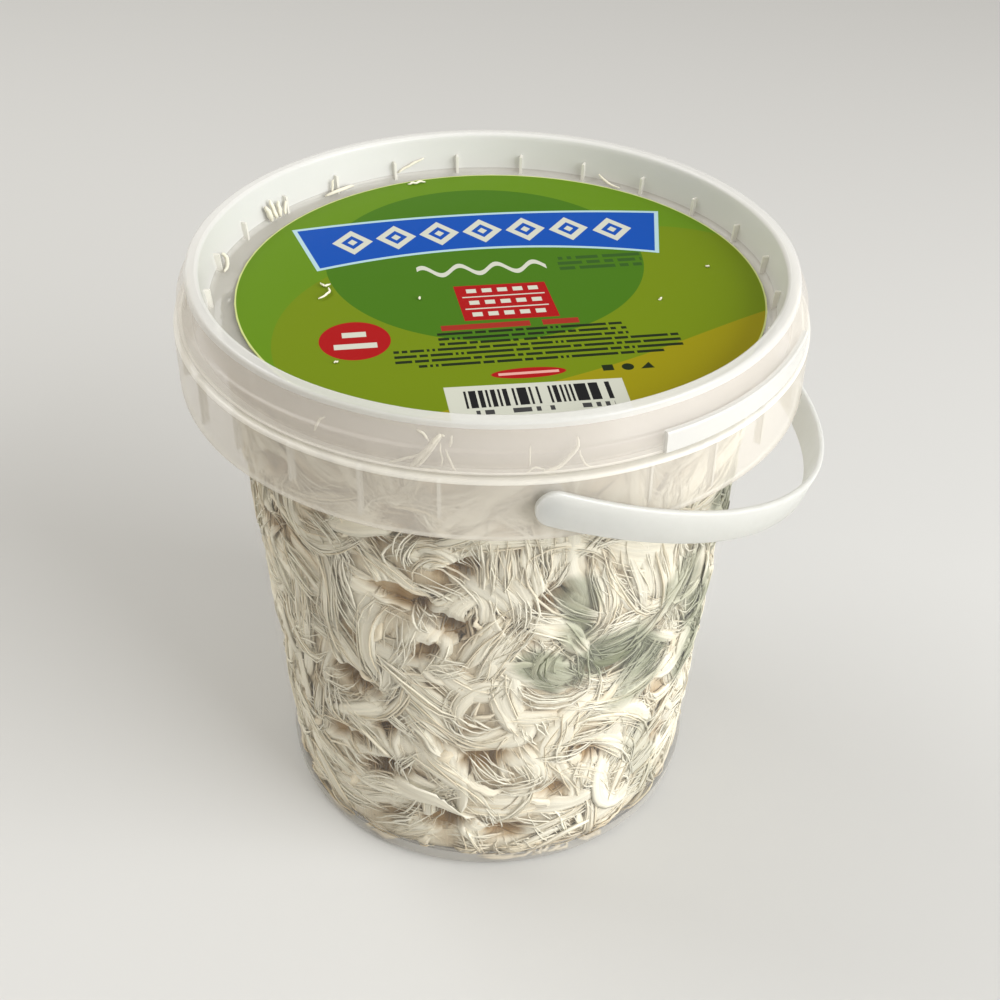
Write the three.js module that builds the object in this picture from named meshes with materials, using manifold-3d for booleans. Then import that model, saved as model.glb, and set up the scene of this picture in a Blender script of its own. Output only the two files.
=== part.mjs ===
// A shut tub of shredded blue cheese: a see-through pail with a collar, a push-on lid with a sunk
// panel and a round label, the shredded cheese that fills it, and a flat strap handle on two studs.
// Millimetres, +Z up. The tub stands on z = 0 round the Z axis, the handle's two ears lie on the
// Y axis, and the handle droops towards +X. The label reads along +X.

import * as THREE from 'three';
import { mergeVertices } from 'three/addons/utils/BufferGeometryUtils.js';
import Module from 'manifold-3d';

const wasm = await Module();
wasm.setup();

// ---- Driving dimensions ----------------------------------------------------------------------

const HEIGHT = 124; // floor to the top of the lid's ring
const SIDES = 36; // flats round the tub and the lid
const PIN_SIDES = 16; // flats round the studs and their holes
const LABEL_SIDES = 60;
const GAP = 0.3; // free space between neighbouring pieces
const SKIN = 1.0; // wall of the tub

const BASE_R = 45.4; // outside of the tub at the floor
const BASE_ROUND = 3.2; // rounding between floor and wall
const FOOT_IN = 40.2; // groove in the floor that leaves a foot ring
const FOOT_OUT = 30.8;
const FOOT_DEEP = 0.8;
const BASE_THICK = 1.4;

const COLLAR_R = 60.8; // stiffening skirt round the neck
const COLLAR_LOW = 102.2;
const COLLAR_TOP = 114.4; // also the top of the flange that carries it
const NECK_R = 52.7; // outside of the wall at the collar's lower edge
const SHOULDER_R = 53.5; // outside of the wall under the flange
const RIM_R = 56.9; // outside of the rim inside the lid
const RIM_TOP = 122.4;
const RIM_SKIN = 0.7;
const RIM_TAPER = 0.3; // the rim's inside leans in by this much

const RING_R = 57.9; // lid's ring, at its outer rounding
const RING_IN = 55.3; // lid's ring, at its inner edge
const RING_ROUND = 1.3;
const RING_IN_ROUND = 0.8;
const SKIRT_R = 60.0; // lid's skirt at its lower edge
const SKIRT_SKIN = 0.8;
const SKIRT_LOW = 114.9;
const SKIRT_STEP = 119.5; // where the skirt widens
const SKIRT_IN = 0.9; // how far the skirt above the step stands back
const EDGE = 0.3; // small bevels along the lid's edges
const PANEL_TOP = 115.8;
const PANEL_THICK = 1.1;
const PANEL_R = 54.0; // foot of the lid's inner wall
const LID_RIBS = 24;
const LID_RIB_TOP = 119.8;
const LID_RIB_DEEP = 0.9;
const LID_RIB_THICK = 0.8;
const PULL_BAND = [19.3, 62]; // degrees from the front ear, the thicker pull-off band
const PULL_BAND_R = 60.5;

const LABEL_R = 50.8;
const LABEL_THICK = 0.3;
const LABEL_SHIFT = [1.5, -0.25]; // it was stuck on slightly off centre

const HINGE_Z = 110.0;
const HANDLE_HALF = 62.4; // ear to middle, at the middle of the strap's thickness
const HANDLE_REACH = 70.0;
const HANDLE_POWER = 2.1; // squareness of the strap's curve, 2 is an ellipse
const HANDLE_DROOP = 21.4; // degrees below level
const STRAP_WIDTH = 6.8;
const STRAP_THICK = 1.2;
const STRAP_TAIL = 2.7; // how far the round end runs past the stud's axis
const STUD_R = 1.9;
const HOLE_R = 2.2;
const HEAD_R = 2.8;
const HEAD_THICK = 0.8;

const CHEESE_LOW = BASE_THICK + GAP;
const CHEESE_TOP = 110.6;
const CHEESE_ROOM = 113.9; // highest point that a strand may reach
const LUMP = 2.6; // depth of the hollows in the packed cheese
const SWELL = 1.2; // height of the swells on its top
const CORE_ROWS = 13;
const CORE_SIDES = 40;
const SIDE_BUNCHES = 54;
const TOP_BUNCHES = 8;
const SEED = 20417;

const PLASTIC = { color: 0xe4e6e2, roughness: 0.28, metalness: 0, transparent: true, opacity: 0.45 };

const turn = THREE.MathUtils.degToRad;

// ---- Shape helpers ---------------------------------------------------------------------------

// A closed solid from any closed three.js geometry.
function solid(geometry) {
  const bare = geometry.index ? geometry.toNonIndexed() : geometry.clone();
  bare.deleteAttribute('normal');
  bare.deleteAttribute('uv');
  const merged = mergeVertices(bare, 1e-4);
  const corners = merged.index.array;
  const faces = [];
  for (let i = 0; i < corners.length; i += 3) {
    const [a, b, c] = [corners[i], corners[i + 1], corners[i + 2]];
    if (a !== b && b !== c && c !== a) faces.push(a, b, c);
  }
  return new wasm.Manifold(
    new wasm.Mesh({
      numProp: 3,
      vertProperties: new Float32Array(merged.attributes.position.array),
      triVerts: new Uint32Array(faces),
    }),
  );
}

function geometryOf(body) {
  const { vertProperties, triVerts, numProp } = body.getMesh();
  const geometry = new THREE.BufferGeometry();
  const places = new Float32Array((vertProperties.length / numProp) * 3);
  for (let i = 0; i < places.length / 3; i++) {
    for (let k = 0; k < 3; k++) places[3 * i + k] = vertProperties[numProp * i + k];
  }
  geometry.setAttribute('position', new THREE.BufferAttribute(places, 3));
  geometry.setIndex(new THREE.BufferAttribute(new Uint32Array(triVerts), 1));
  geometry.computeVertexNormals();
  return geometry;
}

function piece(name, body, look) {
  const mesh = new THREE.Mesh(geometryOf(body), new THREE.MeshStandardMaterial(look));
  mesh.name = name;
  return mesh;
}

// A profile of [radius, height] pairs, run up the outside and down the inside, turned round Z.
function turned(profile, sides = SIDES) {
  const outline = profile.map(([r, z]) => new THREE.Vector2(r, z));
  return new THREE.LatheGeometry(outline, sides).rotateX(Math.PI / 2);
}

// Points of a quarter round of the profile, from one angle to another (0 is outwards, 90 is up).
function rounding(r, z, radius, from, to, steps = 3) {
  const points = [];
  for (let i = 0; i <= steps; i++) {
    const a = turn(from + ((to - from) * i) / steps);
    points.push([r + radius * Math.cos(a), z + radius * Math.sin(a)]);
  }
  return points;
}

// A flat plate standing radially, from one radius to another, at an angle from the front ear.
function radialPlate(inner, outer, low, high, thick, degrees) {
  return new THREE.BoxGeometry(thick, outer - inner, high - low)
    .translate(0, -(inner + outer) / 2, (low + high) / 2)
    .rotateZ(turn(degrees));
}

// ---- Tub -------------------------------------------------------------------------------------

// Outside radius of the wall at a height: straight to the neck, then a little steeper.
function wallOutside(z) {
  if (z < COLLAR_LOW) return BASE_R + ((NECK_R - BASE_R) * z) / COLLAR_LOW;
  return NECK_R + ((SHOULDER_R - NECK_R) * (z - COLLAR_LOW)) / (COLLAR_TOP - COLLAR_LOW);
}

function wallInside(z) {
  return wallOutside(z) - SKIN;
}

function makeTub() {
  const underFlange = COLLAR_TOP - SKIN;
  const roundR = wallOutside(BASE_ROUND) - BASE_ROUND;
  const innerRound = BASE_ROUND - SKIN / 2;
  const profile = [
    [0, 0],
    [FOOT_OUT - FOOT_DEEP, 0],
    [FOOT_OUT, FOOT_DEEP],
    [FOOT_IN, FOOT_DEEP],
    [FOOT_IN + FOOT_DEEP, 0],
    ...rounding(roundR, BASE_ROUND, BASE_ROUND, -90, 0),
    [wallOutside(COLLAR_LOW), COLLAR_LOW],
    [wallOutside(underFlange), underFlange],
    [COLLAR_R - SKIN, underFlange],
    [COLLAR_R - SKIN, COLLAR_LOW],
    [COLLAR_R, COLLAR_LOW],
    [COLLAR_R, COLLAR_TOP],
    [RIM_R, COLLAR_TOP],
    [RIM_R, RIM_TOP],
    [RIM_R - RIM_SKIN, RIM_TOP],
    [RIM_R - RIM_SKIN - RIM_TAPER, COLLAR_TOP],
    [wallInside(underFlange) + RIM_TAPER, COLLAR_TOP],
    [wallInside(underFlange), underFlange],
    [wallInside(COLLAR_LOW), COLLAR_LOW],
    ...rounding(wallInside(BASE_ROUND) - innerRound, BASE_THICK + innerRound, innerRound, 0, -90, 2),
    [0, BASE_THICK],
  ];
  let tub = solid(turned(profile));
  const through = new THREE.CylinderGeometry(HOLE_R, HOLE_R, 10 * SKIN, PIN_SIDES);
  for (const side of [-1, 1]) {
    const hole = through.clone().translate(0, side * COLLAR_R, HINGE_Z);
    tub = tub.subtract(solid(hole));
  }
  return tub;
}

// ---- Lid -------------------------------------------------------------------------------------

// A thicker stretch of the skirt, for the fingers that pull the lid off.
function pullBand() {
  const [from, to] = PULL_BAND.map((a) => turn(a - 90));
  const inset = 0.1; // above the skirt's lower edge
  const depth = SKIRT_STEP - EDGE - SKIRT_LOW - inset;
  const arc = new THREE.Shape();
  arc.absarc(0, 0, PULL_BAND_R, from, to, false);
  arc.absarc(0, 0, SKIRT_R - SKIRT_SKIN + inset, to, from, true);
  arc.closePath();
  return new THREE.ExtrudeGeometry(arc, { depth, bevelEnabled: false, curveSegments: 10 })
    .translate(0, 0, SKIRT_LOW + inset);
}

function makeLid() {
  const ringZ = HEIGHT - RING_ROUND;
  const stepR = SKIRT_R - SKIRT_IN;
  const channelIn = RIM_R - RIM_SKIN - GAP;
  const panelLow = PANEL_TOP - PANEL_THICK;
  const wallFoot = PANEL_R + 1.0; // the inner wall's outside, at the panel
  const profile = [
    [0, panelLow],
    [wallFoot - EDGE, panelLow],
    [wallFoot, panelLow + EDGE],
    [channelIn, RIM_TOP - 1],
    [channelIn, RIM_TOP + GAP],
    [RING_R - SKIRT_SKIN, RIM_TOP + GAP],
    [stepR - SKIRT_SKIN, SKIRT_STEP - EDGE],
    [SKIRT_R - SKIRT_SKIN, SKIRT_LOW],
    [SKIRT_R, SKIRT_LOW],
    [SKIRT_R - EDGE, SKIRT_STEP - EDGE],
    [stepR, SKIRT_STEP],
    ...rounding(RING_R - RING_ROUND, ringZ, RING_ROUND, 0, 90),
    ...rounding(RING_IN + RING_IN_ROUND, HEIGHT - RING_IN_ROUND, RING_IN_ROUND, 90, 180, 2),
    [PANEL_R, PANEL_TOP],
    [0, PANEL_TOP],
  ];
  let lid = solid(turned(profile));
  const root = 0.5; // how deep each rib runs into the lid that carries it
  for (let i = 0; i < LID_RIBS; i++) {
    const degrees = (i * 360) / LID_RIBS;
    const plate = radialPlate(
      PANEL_R - LID_RIB_DEEP, PANEL_R + root, PANEL_TOP - root, LID_RIB_TOP, LID_RIB_THICK, degrees);
    lid = lid.add(solid(plate));
  }
  return lid.add(solid(pullBand()));
}

function makeLabel() {
  const [x, y] = LABEL_SHIFT;
  const disc = new THREE.CylinderGeometry(LABEL_R, LABEL_R, LABEL_THICK, LABEL_SIDES)
    .rotateX(Math.PI / 2)
    .translate(x, y, PANEL_TOP + GAP + LABEL_THICK / 2);
  return solid(disc);
}

// ---- Handle ----------------------------------------------------------------------------------

// The strap lies in a plane through both studs. Here that plane is level, the reach runs along X
// and the ears lie on Y; the exported mesh is tipped by the droop about the hinge.
function strapOutline() {
  const steps = 32; // along the strap from ear to ear
  const power = 2 / HANDLE_POWER;
  const shape = new THREE.Shape();
  const along = (offset) => {
    const points = [];
    for (let i = 0; i <= steps; i++) {
      const a = Math.PI / 2 - (Math.PI * i) / steps;
      const x = (HANDLE_REACH + offset) * Math.abs(Math.cos(a)) ** power;
      const y = (HANDLE_HALF + offset) * Math.abs(Math.sin(a)) ** power * Math.sign(Math.sin(a));
      points.push(new THREE.Vector2(Math.max(x, 1e-3), y));
    }
    return points;
  };
  const tail = STRAP_WIDTH; // cut to a round end below
  const outer = along(STRAP_THICK / 2);
  const inner = along(-STRAP_THICK / 2).reverse();
  shape.moveTo(-tail, outer[0].y);
  for (const p of outer) shape.lineTo(p.x, p.y);
  shape.lineTo(-tail, outer.at(-1).y);
  shape.lineTo(-tail, inner[0].y);
  for (const p of inner) shape.lineTo(p.x, p.y);
  shape.lineTo(-tail, inner.at(-1).y);
  shape.closePath();
  return shape;
}

function makeHandle() {
  const half = STRAP_WIDTH / 2;
  const strap = new THREE.ExtrudeGeometry(strapOutline(), { depth: STRAP_WIDTH, bevelEnabled: false })
    .translate(0, 0, -half);
  const far = HANDLE_REACH + STRAP_WIDTH;
  const endX = half - STRAP_TAIL; // middle of the round end
  const face = new THREE.Shape();
  face.moveTo(endX, -half);
  face.lineTo(far, -half);
  face.lineTo(far, half);
  face.absarc(endX, 0, half, Math.PI / 2, (3 * Math.PI) / 2, false);
  const ends = new THREE.ExtrudeGeometry(face, {
    depth: 4 * HANDLE_HALF, bevelEnabled: false, curveSegments: 6,
  })
    .translate(0, 0, -2 * HANDLE_HALF)
    .rotateX(Math.PI / 2);
  let handle = solid(strap).intersect(solid(ends));
  const headFace = COLLAR_R - SKIN - 2 * GAP;
  const stud = HANDLE_HALF - (headFace - HEAD_THICK);
  for (const side of [-1, 1]) {
    const shaft = new THREE.CylinderGeometry(STUD_R, STUD_R, stud, PIN_SIDES)
      .translate(0, side * (HANDLE_HALF - stud / 2), 0);
    const head = new THREE.CylinderGeometry(HEAD_R, HEAD_R, HEAD_THICK, PIN_SIDES)
      .translate(0, side * (headFace - HEAD_THICK / 2), 0);
    handle = handle.add(solid(shaft)).add(solid(head));
  }
  return handle;
}

// ---- Cheese ----------------------------------------------------------------------------------

let state = SEED;
function random(low = 0, high = 1) {
  state = (state * 1664525 + 1013904223) % 4294967296;
  return low + ((high - low) * state) / 4294967296;
}

// How far out the cheese may reach at a height.
function cheeseRoom(z) {
  const clear = wallInside(z) - 2 * GAP;
  const round = BASE_ROUND + 2 * GAP;
  if (z >= CHEESE_LOW + round) return clear;
  const fall = Math.max(0, (CHEESE_LOW + round - z) / round);
  return clear - round * (1 - Math.sqrt(Math.max(0, 1 - fall * fall)));
}

// Smooth hollows between the lumps, from a few waves of different lengths.
function hollow(angle, z) {
  const waves = Math.sin(5 * angle + z / 9) * Math.sin(z / 6.5 - 2 * angle)
    + 0.8 * Math.sin(9 * angle - z / 7 + 1.3) * Math.sin(z / 5 + 3 * angle)
    + 0.5 * Math.sin(15 * angle + z / 3.7);
  return LUMP * (0.45 + 0.24 * waves);
}

function cheeseCore() {
  const firstRow = CHEESE_LOW + 0.8;
  const lastRow = CHEESE_TOP - 2;
  const profile = [0, 24, 38].map((r) => [r, CHEESE_LOW]);
  for (let i = 0; i <= CORE_ROWS; i++) {
    const z = firstRow + ((lastRow - firstRow) * i) / CORE_ROWS;
    profile.push([cheeseRoom(z), z]);
  }
  profile.push(...[46, 36, 24, 12, 0].map((r) => [r, CHEESE_TOP]));
  const core = turned(profile, CORE_SIDES);
  const place = core.attributes.position;
  for (let i = 0; i < place.count; i++) {
    const [x, y, z] = [place.getX(i), place.getY(i), place.getZ(i)];
    const r = Math.hypot(x, y);
    const onAxis = r < 1;
    if (z < firstRow - 0.1 || onAxis) continue;
    const angle = Math.atan2(y, x);
    if (z > lastRow + 0.1) {
      place.setZ(i, z + SWELL * Math.sin(x / 5 + 1) * Math.cos(y / 6));
    } else {
      const scale = (r - Math.max(0.1, hollow(angle, z))) / r;
      place.setXY(i, x * scale, y * scale);
    }
  }
  return solid(core);
}

// A bunch of shreds is a flat strip that narrows to both ends and curls as it goes. place() lays
// a point (along, across, out) of the strip on the surface that it clings to.
function bunch({ length, width, thick, heading, curl, place }) {
  const steps = 6; // even, so that one step is the middle
  const tip = 0.35; // width of the ends, as a share of the middle
  const strip = new THREE.BoxGeometry(1, 1, 1, steps, 1, 1);
  const line = [];
  let [u, v, way] = [0, 0, heading];
  for (let i = 0; i <= steps; i++) {
    line.push({ u, v, way });
    u += (length / steps) * Math.cos(way);
    v += (length / steps) * Math.sin(way);
    way += (curl * length) / steps;
  }
  const middle = line[steps / 2];
  const at = strip.attributes.position;
  for (let i = 0; i < at.count; i++) {
    const step = Math.round((at.getX(i) + 0.5) * steps);
    const { u: mu, v: mv, way: mw } = line[step];
    const taper = tip + (1 - tip) * Math.sin((Math.PI * step) / steps);
    const across = at.getY(i) * width * taper;
    const out = at.getZ(i) * thick * (0.6 + 0.4 * taper);
    const p = place(mu - middle.u - across * Math.sin(mw), mv - middle.v + across * Math.cos(mw), out);
    at.setXYZ(i, p.x, p.y, p.z);
  }
  return solid(strip);
}

// Bunches on the side are spread by the golden angle, so that none of the wall stays bare.
function sideBunches() {
  const golden = Math.PI * (3 - Math.sqrt(5));
  const [lowest, highest] = [12, 102];
  const bunches = [];
  for (let i = 0; i < SIDE_BUNCHES; i++) {
    const middleZ = lowest + ((highest - lowest) * (i + 0.5)) / SIDE_BUNCHES;
    const angle = i * golden;
    const thick = random(2.0, 2.8);
    const depth = thick / 2 + random(0.05, 0.7);
    const place = (u, v, out) => {
      const z = Math.min(Math.max(middleZ + v, CHEESE_LOW + 0.9), CHEESE_TOP - 0.6);
      const r = cheeseRoom(z) - depth + Math.min(out, depth);
      const a = angle + u / cheeseRoom(middleZ);
      return { x: r * Math.cos(a), y: r * Math.sin(a), z };
    };
    bunches.push(bunch({
      length: random(22, 40),
      width: random(4, 7.5),
      thick,
      heading: random(0, Math.PI),
      curl: random(-0.085, 0.085),
      place,
    }));
  }
  return bunches;
}

function topBunches() {
  const bunches = [];
  for (let i = 0; i < TOP_BUNCHES; i++) {
    const angle = (2 * Math.PI * i) / TOP_BUNCHES + random(-0.2, 0.2);
    const r = random(20, 34);
    const thick = random(2.4, 3);
    const lift = random(0.2, 0.6);
    const place = (u, v, out) => ({
      x: r * Math.cos(angle) + u,
      y: r * Math.sin(angle) + v,
      z: Math.min(CHEESE_TOP + lift + 0.6 + out, CHEESE_ROOM),
    });
    bunches.push(bunch({
      length: random(20, 26), width: random(4, 7), thick, heading: random(0, Math.PI),
      curl: random(-0.07, 0.07), place,
    }));
  }
  return bunches;
}

function makeCheese() {
  let cheese = cheeseCore();
  for (const strip of [...sideBunches(), ...topBunches()]) cheese = cheese.add(strip);
  return cheese;
}

// ---- Scene -----------------------------------------------------------------------------------

const group = new THREE.Group();
group.name = 'cheese_tub';
group.add(
  piece('tub', makeTub(), PLASTIC),
  piece('lid', makeLid(), PLASTIC),
  piece('label', makeLabel(), { color: 0x5c8c1c, roughness: 0.4, metalness: 0 }),
  piece('cheese', makeCheese(), { color: 0xe2dbcb, roughness: 0.75, metalness: 0 }),
);

const handle = piece('handle', makeHandle(), { color: 0xf3f3ef, roughness: 0.4, metalness: 0 });
handle.rotation.y = turn(HANDLE_DROOP);
handle.position.z = HINGE_Z;
group.add(handle);

export default group;
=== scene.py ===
# %% [markdown]
# # A see-through tub of shredded blue cheese
#
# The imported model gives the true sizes: a plastic tub, its lid, a round label, one solid for the
# cheese, and a strap handle that swings. In this lesson each of them gets its finished look. The
# plastics are turned and swept again with rounded edges, the label gets its fields of colour, and
# the cheese is built the way it is packed: lock upon lock of fine shreds pressed to the wall.

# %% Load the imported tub
import math

import bpy
import numpy as np
from mathutils import Matrix, Vector


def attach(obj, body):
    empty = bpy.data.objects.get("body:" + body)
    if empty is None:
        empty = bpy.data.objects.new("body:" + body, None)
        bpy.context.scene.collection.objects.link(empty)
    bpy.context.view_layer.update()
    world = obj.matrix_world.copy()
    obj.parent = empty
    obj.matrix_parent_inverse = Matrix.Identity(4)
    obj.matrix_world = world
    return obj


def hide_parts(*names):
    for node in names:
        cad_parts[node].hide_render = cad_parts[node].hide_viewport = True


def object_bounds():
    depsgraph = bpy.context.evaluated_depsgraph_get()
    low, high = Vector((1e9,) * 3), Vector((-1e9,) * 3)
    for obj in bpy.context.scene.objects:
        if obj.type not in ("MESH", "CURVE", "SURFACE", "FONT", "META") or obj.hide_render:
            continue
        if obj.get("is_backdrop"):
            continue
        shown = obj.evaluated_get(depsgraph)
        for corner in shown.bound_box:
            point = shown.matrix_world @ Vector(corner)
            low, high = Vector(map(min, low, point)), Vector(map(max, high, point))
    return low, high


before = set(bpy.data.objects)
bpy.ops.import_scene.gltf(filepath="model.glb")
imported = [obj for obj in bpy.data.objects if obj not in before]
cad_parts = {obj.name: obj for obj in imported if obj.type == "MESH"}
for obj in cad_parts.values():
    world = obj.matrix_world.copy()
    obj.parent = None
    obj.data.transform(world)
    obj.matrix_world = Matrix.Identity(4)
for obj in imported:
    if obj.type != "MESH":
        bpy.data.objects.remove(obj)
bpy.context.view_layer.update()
MM = 0.001

# %% [markdown]
# ## Camera
#
# The camera is set first, because every later choice is judged through it. The view looks down at
# the lid from a little to the left. A camera's matrix has its right, up and backward directions as
# columns. The lens follows from the focal length in pixels, and a small shift puts the middle of
# the lens a little right of and below the middle of the picture.

# %% Camera
PICTURE = 1000
FOCAL = 1458.5
LENS_MIDDLE = (521.07, 516.54)
SENSOR = 36.0

camera_data = bpy.data.cameras.new("camera")
camera = bpy.data.objects.new("camera", camera_data)
bpy.context.scene.collection.objects.link(camera)
right = Vector((0.98593446, -0.16555826, 0.02288459))
up = Vector((0.08323605, 0.60513112, 0.79176265))
back = right.cross(up)
place = Matrix((right, up, back)).transposed().to_4x4()
place.translation = Vector((-39.216, -246.209, 252.880)) * MM
camera.matrix_world = place
camera_data.sensor_width = SENSOR
camera_data.lens = FOCAL / PICTURE * SENSOR
camera_data.shift_x = 0.5 - LENS_MIDDLE[0] / PICTURE
camera_data.shift_y = LENS_MIDDLE[1] / PICTURE - 0.5
camera_data.clip_start = 0.01
bpy.context.scene.camera = camera
print("lens", round(camera_data.lens, 2), "mm")

# %% [markdown]
# ## Floor, sky and lamps
#
# Clear plastic shows what stands round it, so the studio matters as much as the material. A large
# pale floor and a pale sky give the milky walls something soft to reflect. A wide lamp on the right
# makes the long highlights on the lid's skirt, a weak warm one on the left keeps the shaded side
# open, and one above the back lights the far side of the lid's ring. Light may pass many see-through
# skins, but bounces only a few times. Colours are shown as they are, without a film look, so that
# the print stays bright.

# %% Floor, sky and lamps
scene = bpy.context.scene
scene.view_settings.view_transform = "Standard"
SKINS_PASSED, BOUNCES, SOFT_BOUNCES = 32, 5, 2
SKY_COLOR, SKY_STRENGTH = (244, 239, 232), 0.52
FLOOR_REACH = 3.0

scene.cycles.transparent_max_bounces = SKINS_PASSED
scene.cycles.max_bounces = BOUNCES
scene.cycles.diffuse_bounces = SOFT_BOUNCES
scene.cycles.glossy_bounces = SOFT_BOUNCES
scene.cycles.caustics_reflective = False


def linear(red, green, blue, alpha=1.0):
    """A colour as a painter mixes it (0 to 255) in the linear values that a shader adds up."""
    def value(c):
        c = c / 255
        return c / 12.92 if c <= 0.04045 else ((c + 0.055) / 1.055) ** 2.4
    return (value(red), value(green), value(blue), alpha)


def add_lamp(name, width, height, position, target, power, tint=(255, 255, 255)):
    """A rectangular lamp that looks at a target; lengths in metres."""
    data = bpy.data.lights.new(name, "AREA")
    data.shape = "RECTANGLE"
    data.size, data.size_y = width, height
    data.energy = power
    data.color = linear(*tint)[:3]
    lamp = bpy.data.objects.new(name, data)
    lamp.location = position
    lamp.rotation_euler = (Vector(target) - Vector(position)).to_track_quat("-Z", "Y").to_euler()
    scene.collection.objects.link(lamp)


world = bpy.data.worlds.new("sky")
world.use_nodes = True
sky = world.node_tree.nodes["Background"]
sky.inputs["Color"].default_value = linear(*SKY_COLOR)
sky.inputs["Strength"].default_value = SKY_STRENGTH
scene.world = world

middle = (0, 0, 0.07)
add_lamp("lamp_right", 0.75, 0.75, (0.64, -0.52, 0.50), middle, 11.4, (251, 252, 255))
add_lamp("lamp_left", 0.5, 0.5, (-0.60, -0.25, 0.45), middle, 0.4, (255, 242, 226))
add_lamp("lamp_back", 0.5, 0.4, (-0.45, 0.35, 0.75), middle, 3.2)

floor_mesh = bpy.data.meshes.new("floor")
floor_corners = [(x * FLOOR_REACH, y * FLOOR_REACH, 0) for x, y in ((-1, -1), (1, -1), (1, 1), (-1, 1))]
floor_mesh.from_pydata(floor_corners, [], [(0, 1, 2, 3)])
floor = bpy.data.objects.new("floor", floor_mesh)
scene.collection.objects.link(floor)
floor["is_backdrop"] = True

# %% [markdown]
# ## Materials for plastic
#
# Thin polypropylene is milky: it scatters a little white light and lets the rest through without
# bending it much. One Principled shader with a pale colour and a low Alpha shows that well and
# renders without noise, because light passes straight through to the cheese. Each wall is a closed
# shell, so a ray meets two faces and the veil doubles. These see-through plastics keep plain values,
# because light passes them many times and each pass would pay for a texture. Their unevenness is in
# the shape instead.

# %% Materials for plastic
PLASTIC_IOR = 1.5


def new_material(name, color, roughness, **sockets):
    """A material whose one Principled shader has plain values on its sockets."""
    material = bpy.data.materials.new(name)
    material.use_nodes = True
    shader = material.node_tree.nodes["Principled BSDF"]
    shader.inputs["Base Color"].default_value = linear(*color)
    shader.inputs["Roughness"].default_value = roughness
    for socket, value in sockets.items():
        shader.inputs[socket.replace("_", " ")].default_value = value
    return material


def milky(name, color, alpha, roughness):
    """See-through plastic; alpha is how much of a white veil one face has."""
    return new_material(name, color, roughness, Alpha=alpha, IOR=PLASTIC_IOR)


wall_plastic = milky("clear_wall_plastic", (236, 234, 228), 0.05, 0.16)
foot_plastic = milky("foot_plastic", (232, 229, 220), 0.34, 0.30)
collar_plastic = milky("milky_collar_plastic", (230, 223, 209), 0.37, 0.28)
# rib plastic: whiter and more opaque than the walls, partly as a painted highlight where ribs and edges catch
# the light
rib_and_edge_highlight_plastic = milky("rib_and_edge_highlight_plastic", (252, 249, 238), 0.60, 0.30)
ring_plastic = milky("milky_ring_plastic", (240, 240, 235), 0.52, 0.24)
inner_plastic = milky("ring_inside_plastic", (238, 238, 233), 0.62, 0.26)
skirt_plastic = milky("skirt_plastic", (238, 232, 222), 0.30, 0.24)
panel_plastic = milky("lid_panel_plastic", (226, 224, 214), 0.42, 0.26)
floor_paint = new_material("pale_floor", (206, 206, 203), 0.6)
floor_mesh.materials.append(floor_paint)
print("materials:", [m.name for m in bpy.data.materials])

# %% [markdown]
# The white strap is solid, so it can afford some noise. One noise moves its gloss between two
# values, and a finer one raises waves that only the highlights show. A noise passes through most of
# its range between 0.3 and 0.7, so that is the part that is spread out. A little light also goes
# right through the strap, which scattering under the surface gives.

# %% The strap's plastic
NOISE_DETAIL, NOISE_LOW, NOISE_HIGH = 3.0, 0.3, 0.7
WAVE_STRENGTH = 0.6


def noise_on(material, scale):
    """A noise on the object's own coordinates; the scale is in waves per metre."""
    nodes, links = material.node_tree.nodes, material.node_tree.links
    where = nodes.new("ShaderNodeTexCoord")
    noise = nodes.new("ShaderNodeTexNoise")
    noise.inputs["Scale"].default_value = scale
    noise.inputs["Detail"].default_value = NOISE_DETAIL
    links.new(where.outputs["Object"], noise.inputs["Vector"])
    return noise.outputs["Fac"]


def spread_noise(material, noise, low, high):
    """Spreads the middle of a noise over the range from low to high."""
    spread = material.node_tree.nodes.new("ShaderNodeMapRange")
    spread.inputs["From Min"].default_value = NOISE_LOW
    spread.inputs["From Max"].default_value = NOISE_HIGH
    spread.inputs["To Min"].default_value = low
    spread.inputs["To Max"].default_value = high
    material.node_tree.links.new(noise, spread.inputs["Value"])
    return spread.outputs["Result"]


def uneven_gloss(material, scale, low, high):
    """Lets a noise move the roughness between two values."""
    gloss = spread_noise(material, noise_on(material, scale), low, high)
    material.node_tree.links.new(gloss, material.node_tree.nodes["Principled BSDF"].inputs["Roughness"])


def small_waves(material, scale, height):
    """Small waves in the surface; the height is in metres."""
    nodes, links = material.node_tree.nodes, material.node_tree.links
    bump = nodes.new("ShaderNodeBump")
    bump.inputs["Strength"].default_value = WAVE_STRENGTH
    bump.inputs["Distance"].default_value = height
    links.new(noise_on(material, scale), bump.inputs["Height"])
    links.new(bump.outputs["Normal"], nodes["Principled BSDF"].inputs["Normal"])


strap_plastic = new_material("white_strap_plastic", (193, 194, 188), 0.36, IOR=PLASTIC_IOR,
                             Subsurface_Weight=0.9, Subsurface_Scale=0.006, Subsurface_Radius=(1, 1, 1))
uneven_gloss(strap_plastic, 90, 0.30, 0.44)
small_waves(strap_plastic, 160, 0.0002)
print("strap shader:", len(strap_plastic.node_tree.nodes), "nodes")

# %% [markdown]
# ## Turning a profile
#
# The tub and the lid are bodies of revolution, like work on a lathe. A list of corners, each with
# its own rounding radius, is softened into a smooth outline, which is then turned round the Z axis.
# Small roundings are what catch the light on real mouldings. Each corner also names the material
# that runs from it to the next corner. No moulding is perfectly round, so the radius wavers by a few
# hundredths of a millimetre, and the highlights waver with it.

# %% Softening an outline
CORNER_STEPS, MOST_OF_SIDE = 4, 0.48


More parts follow.
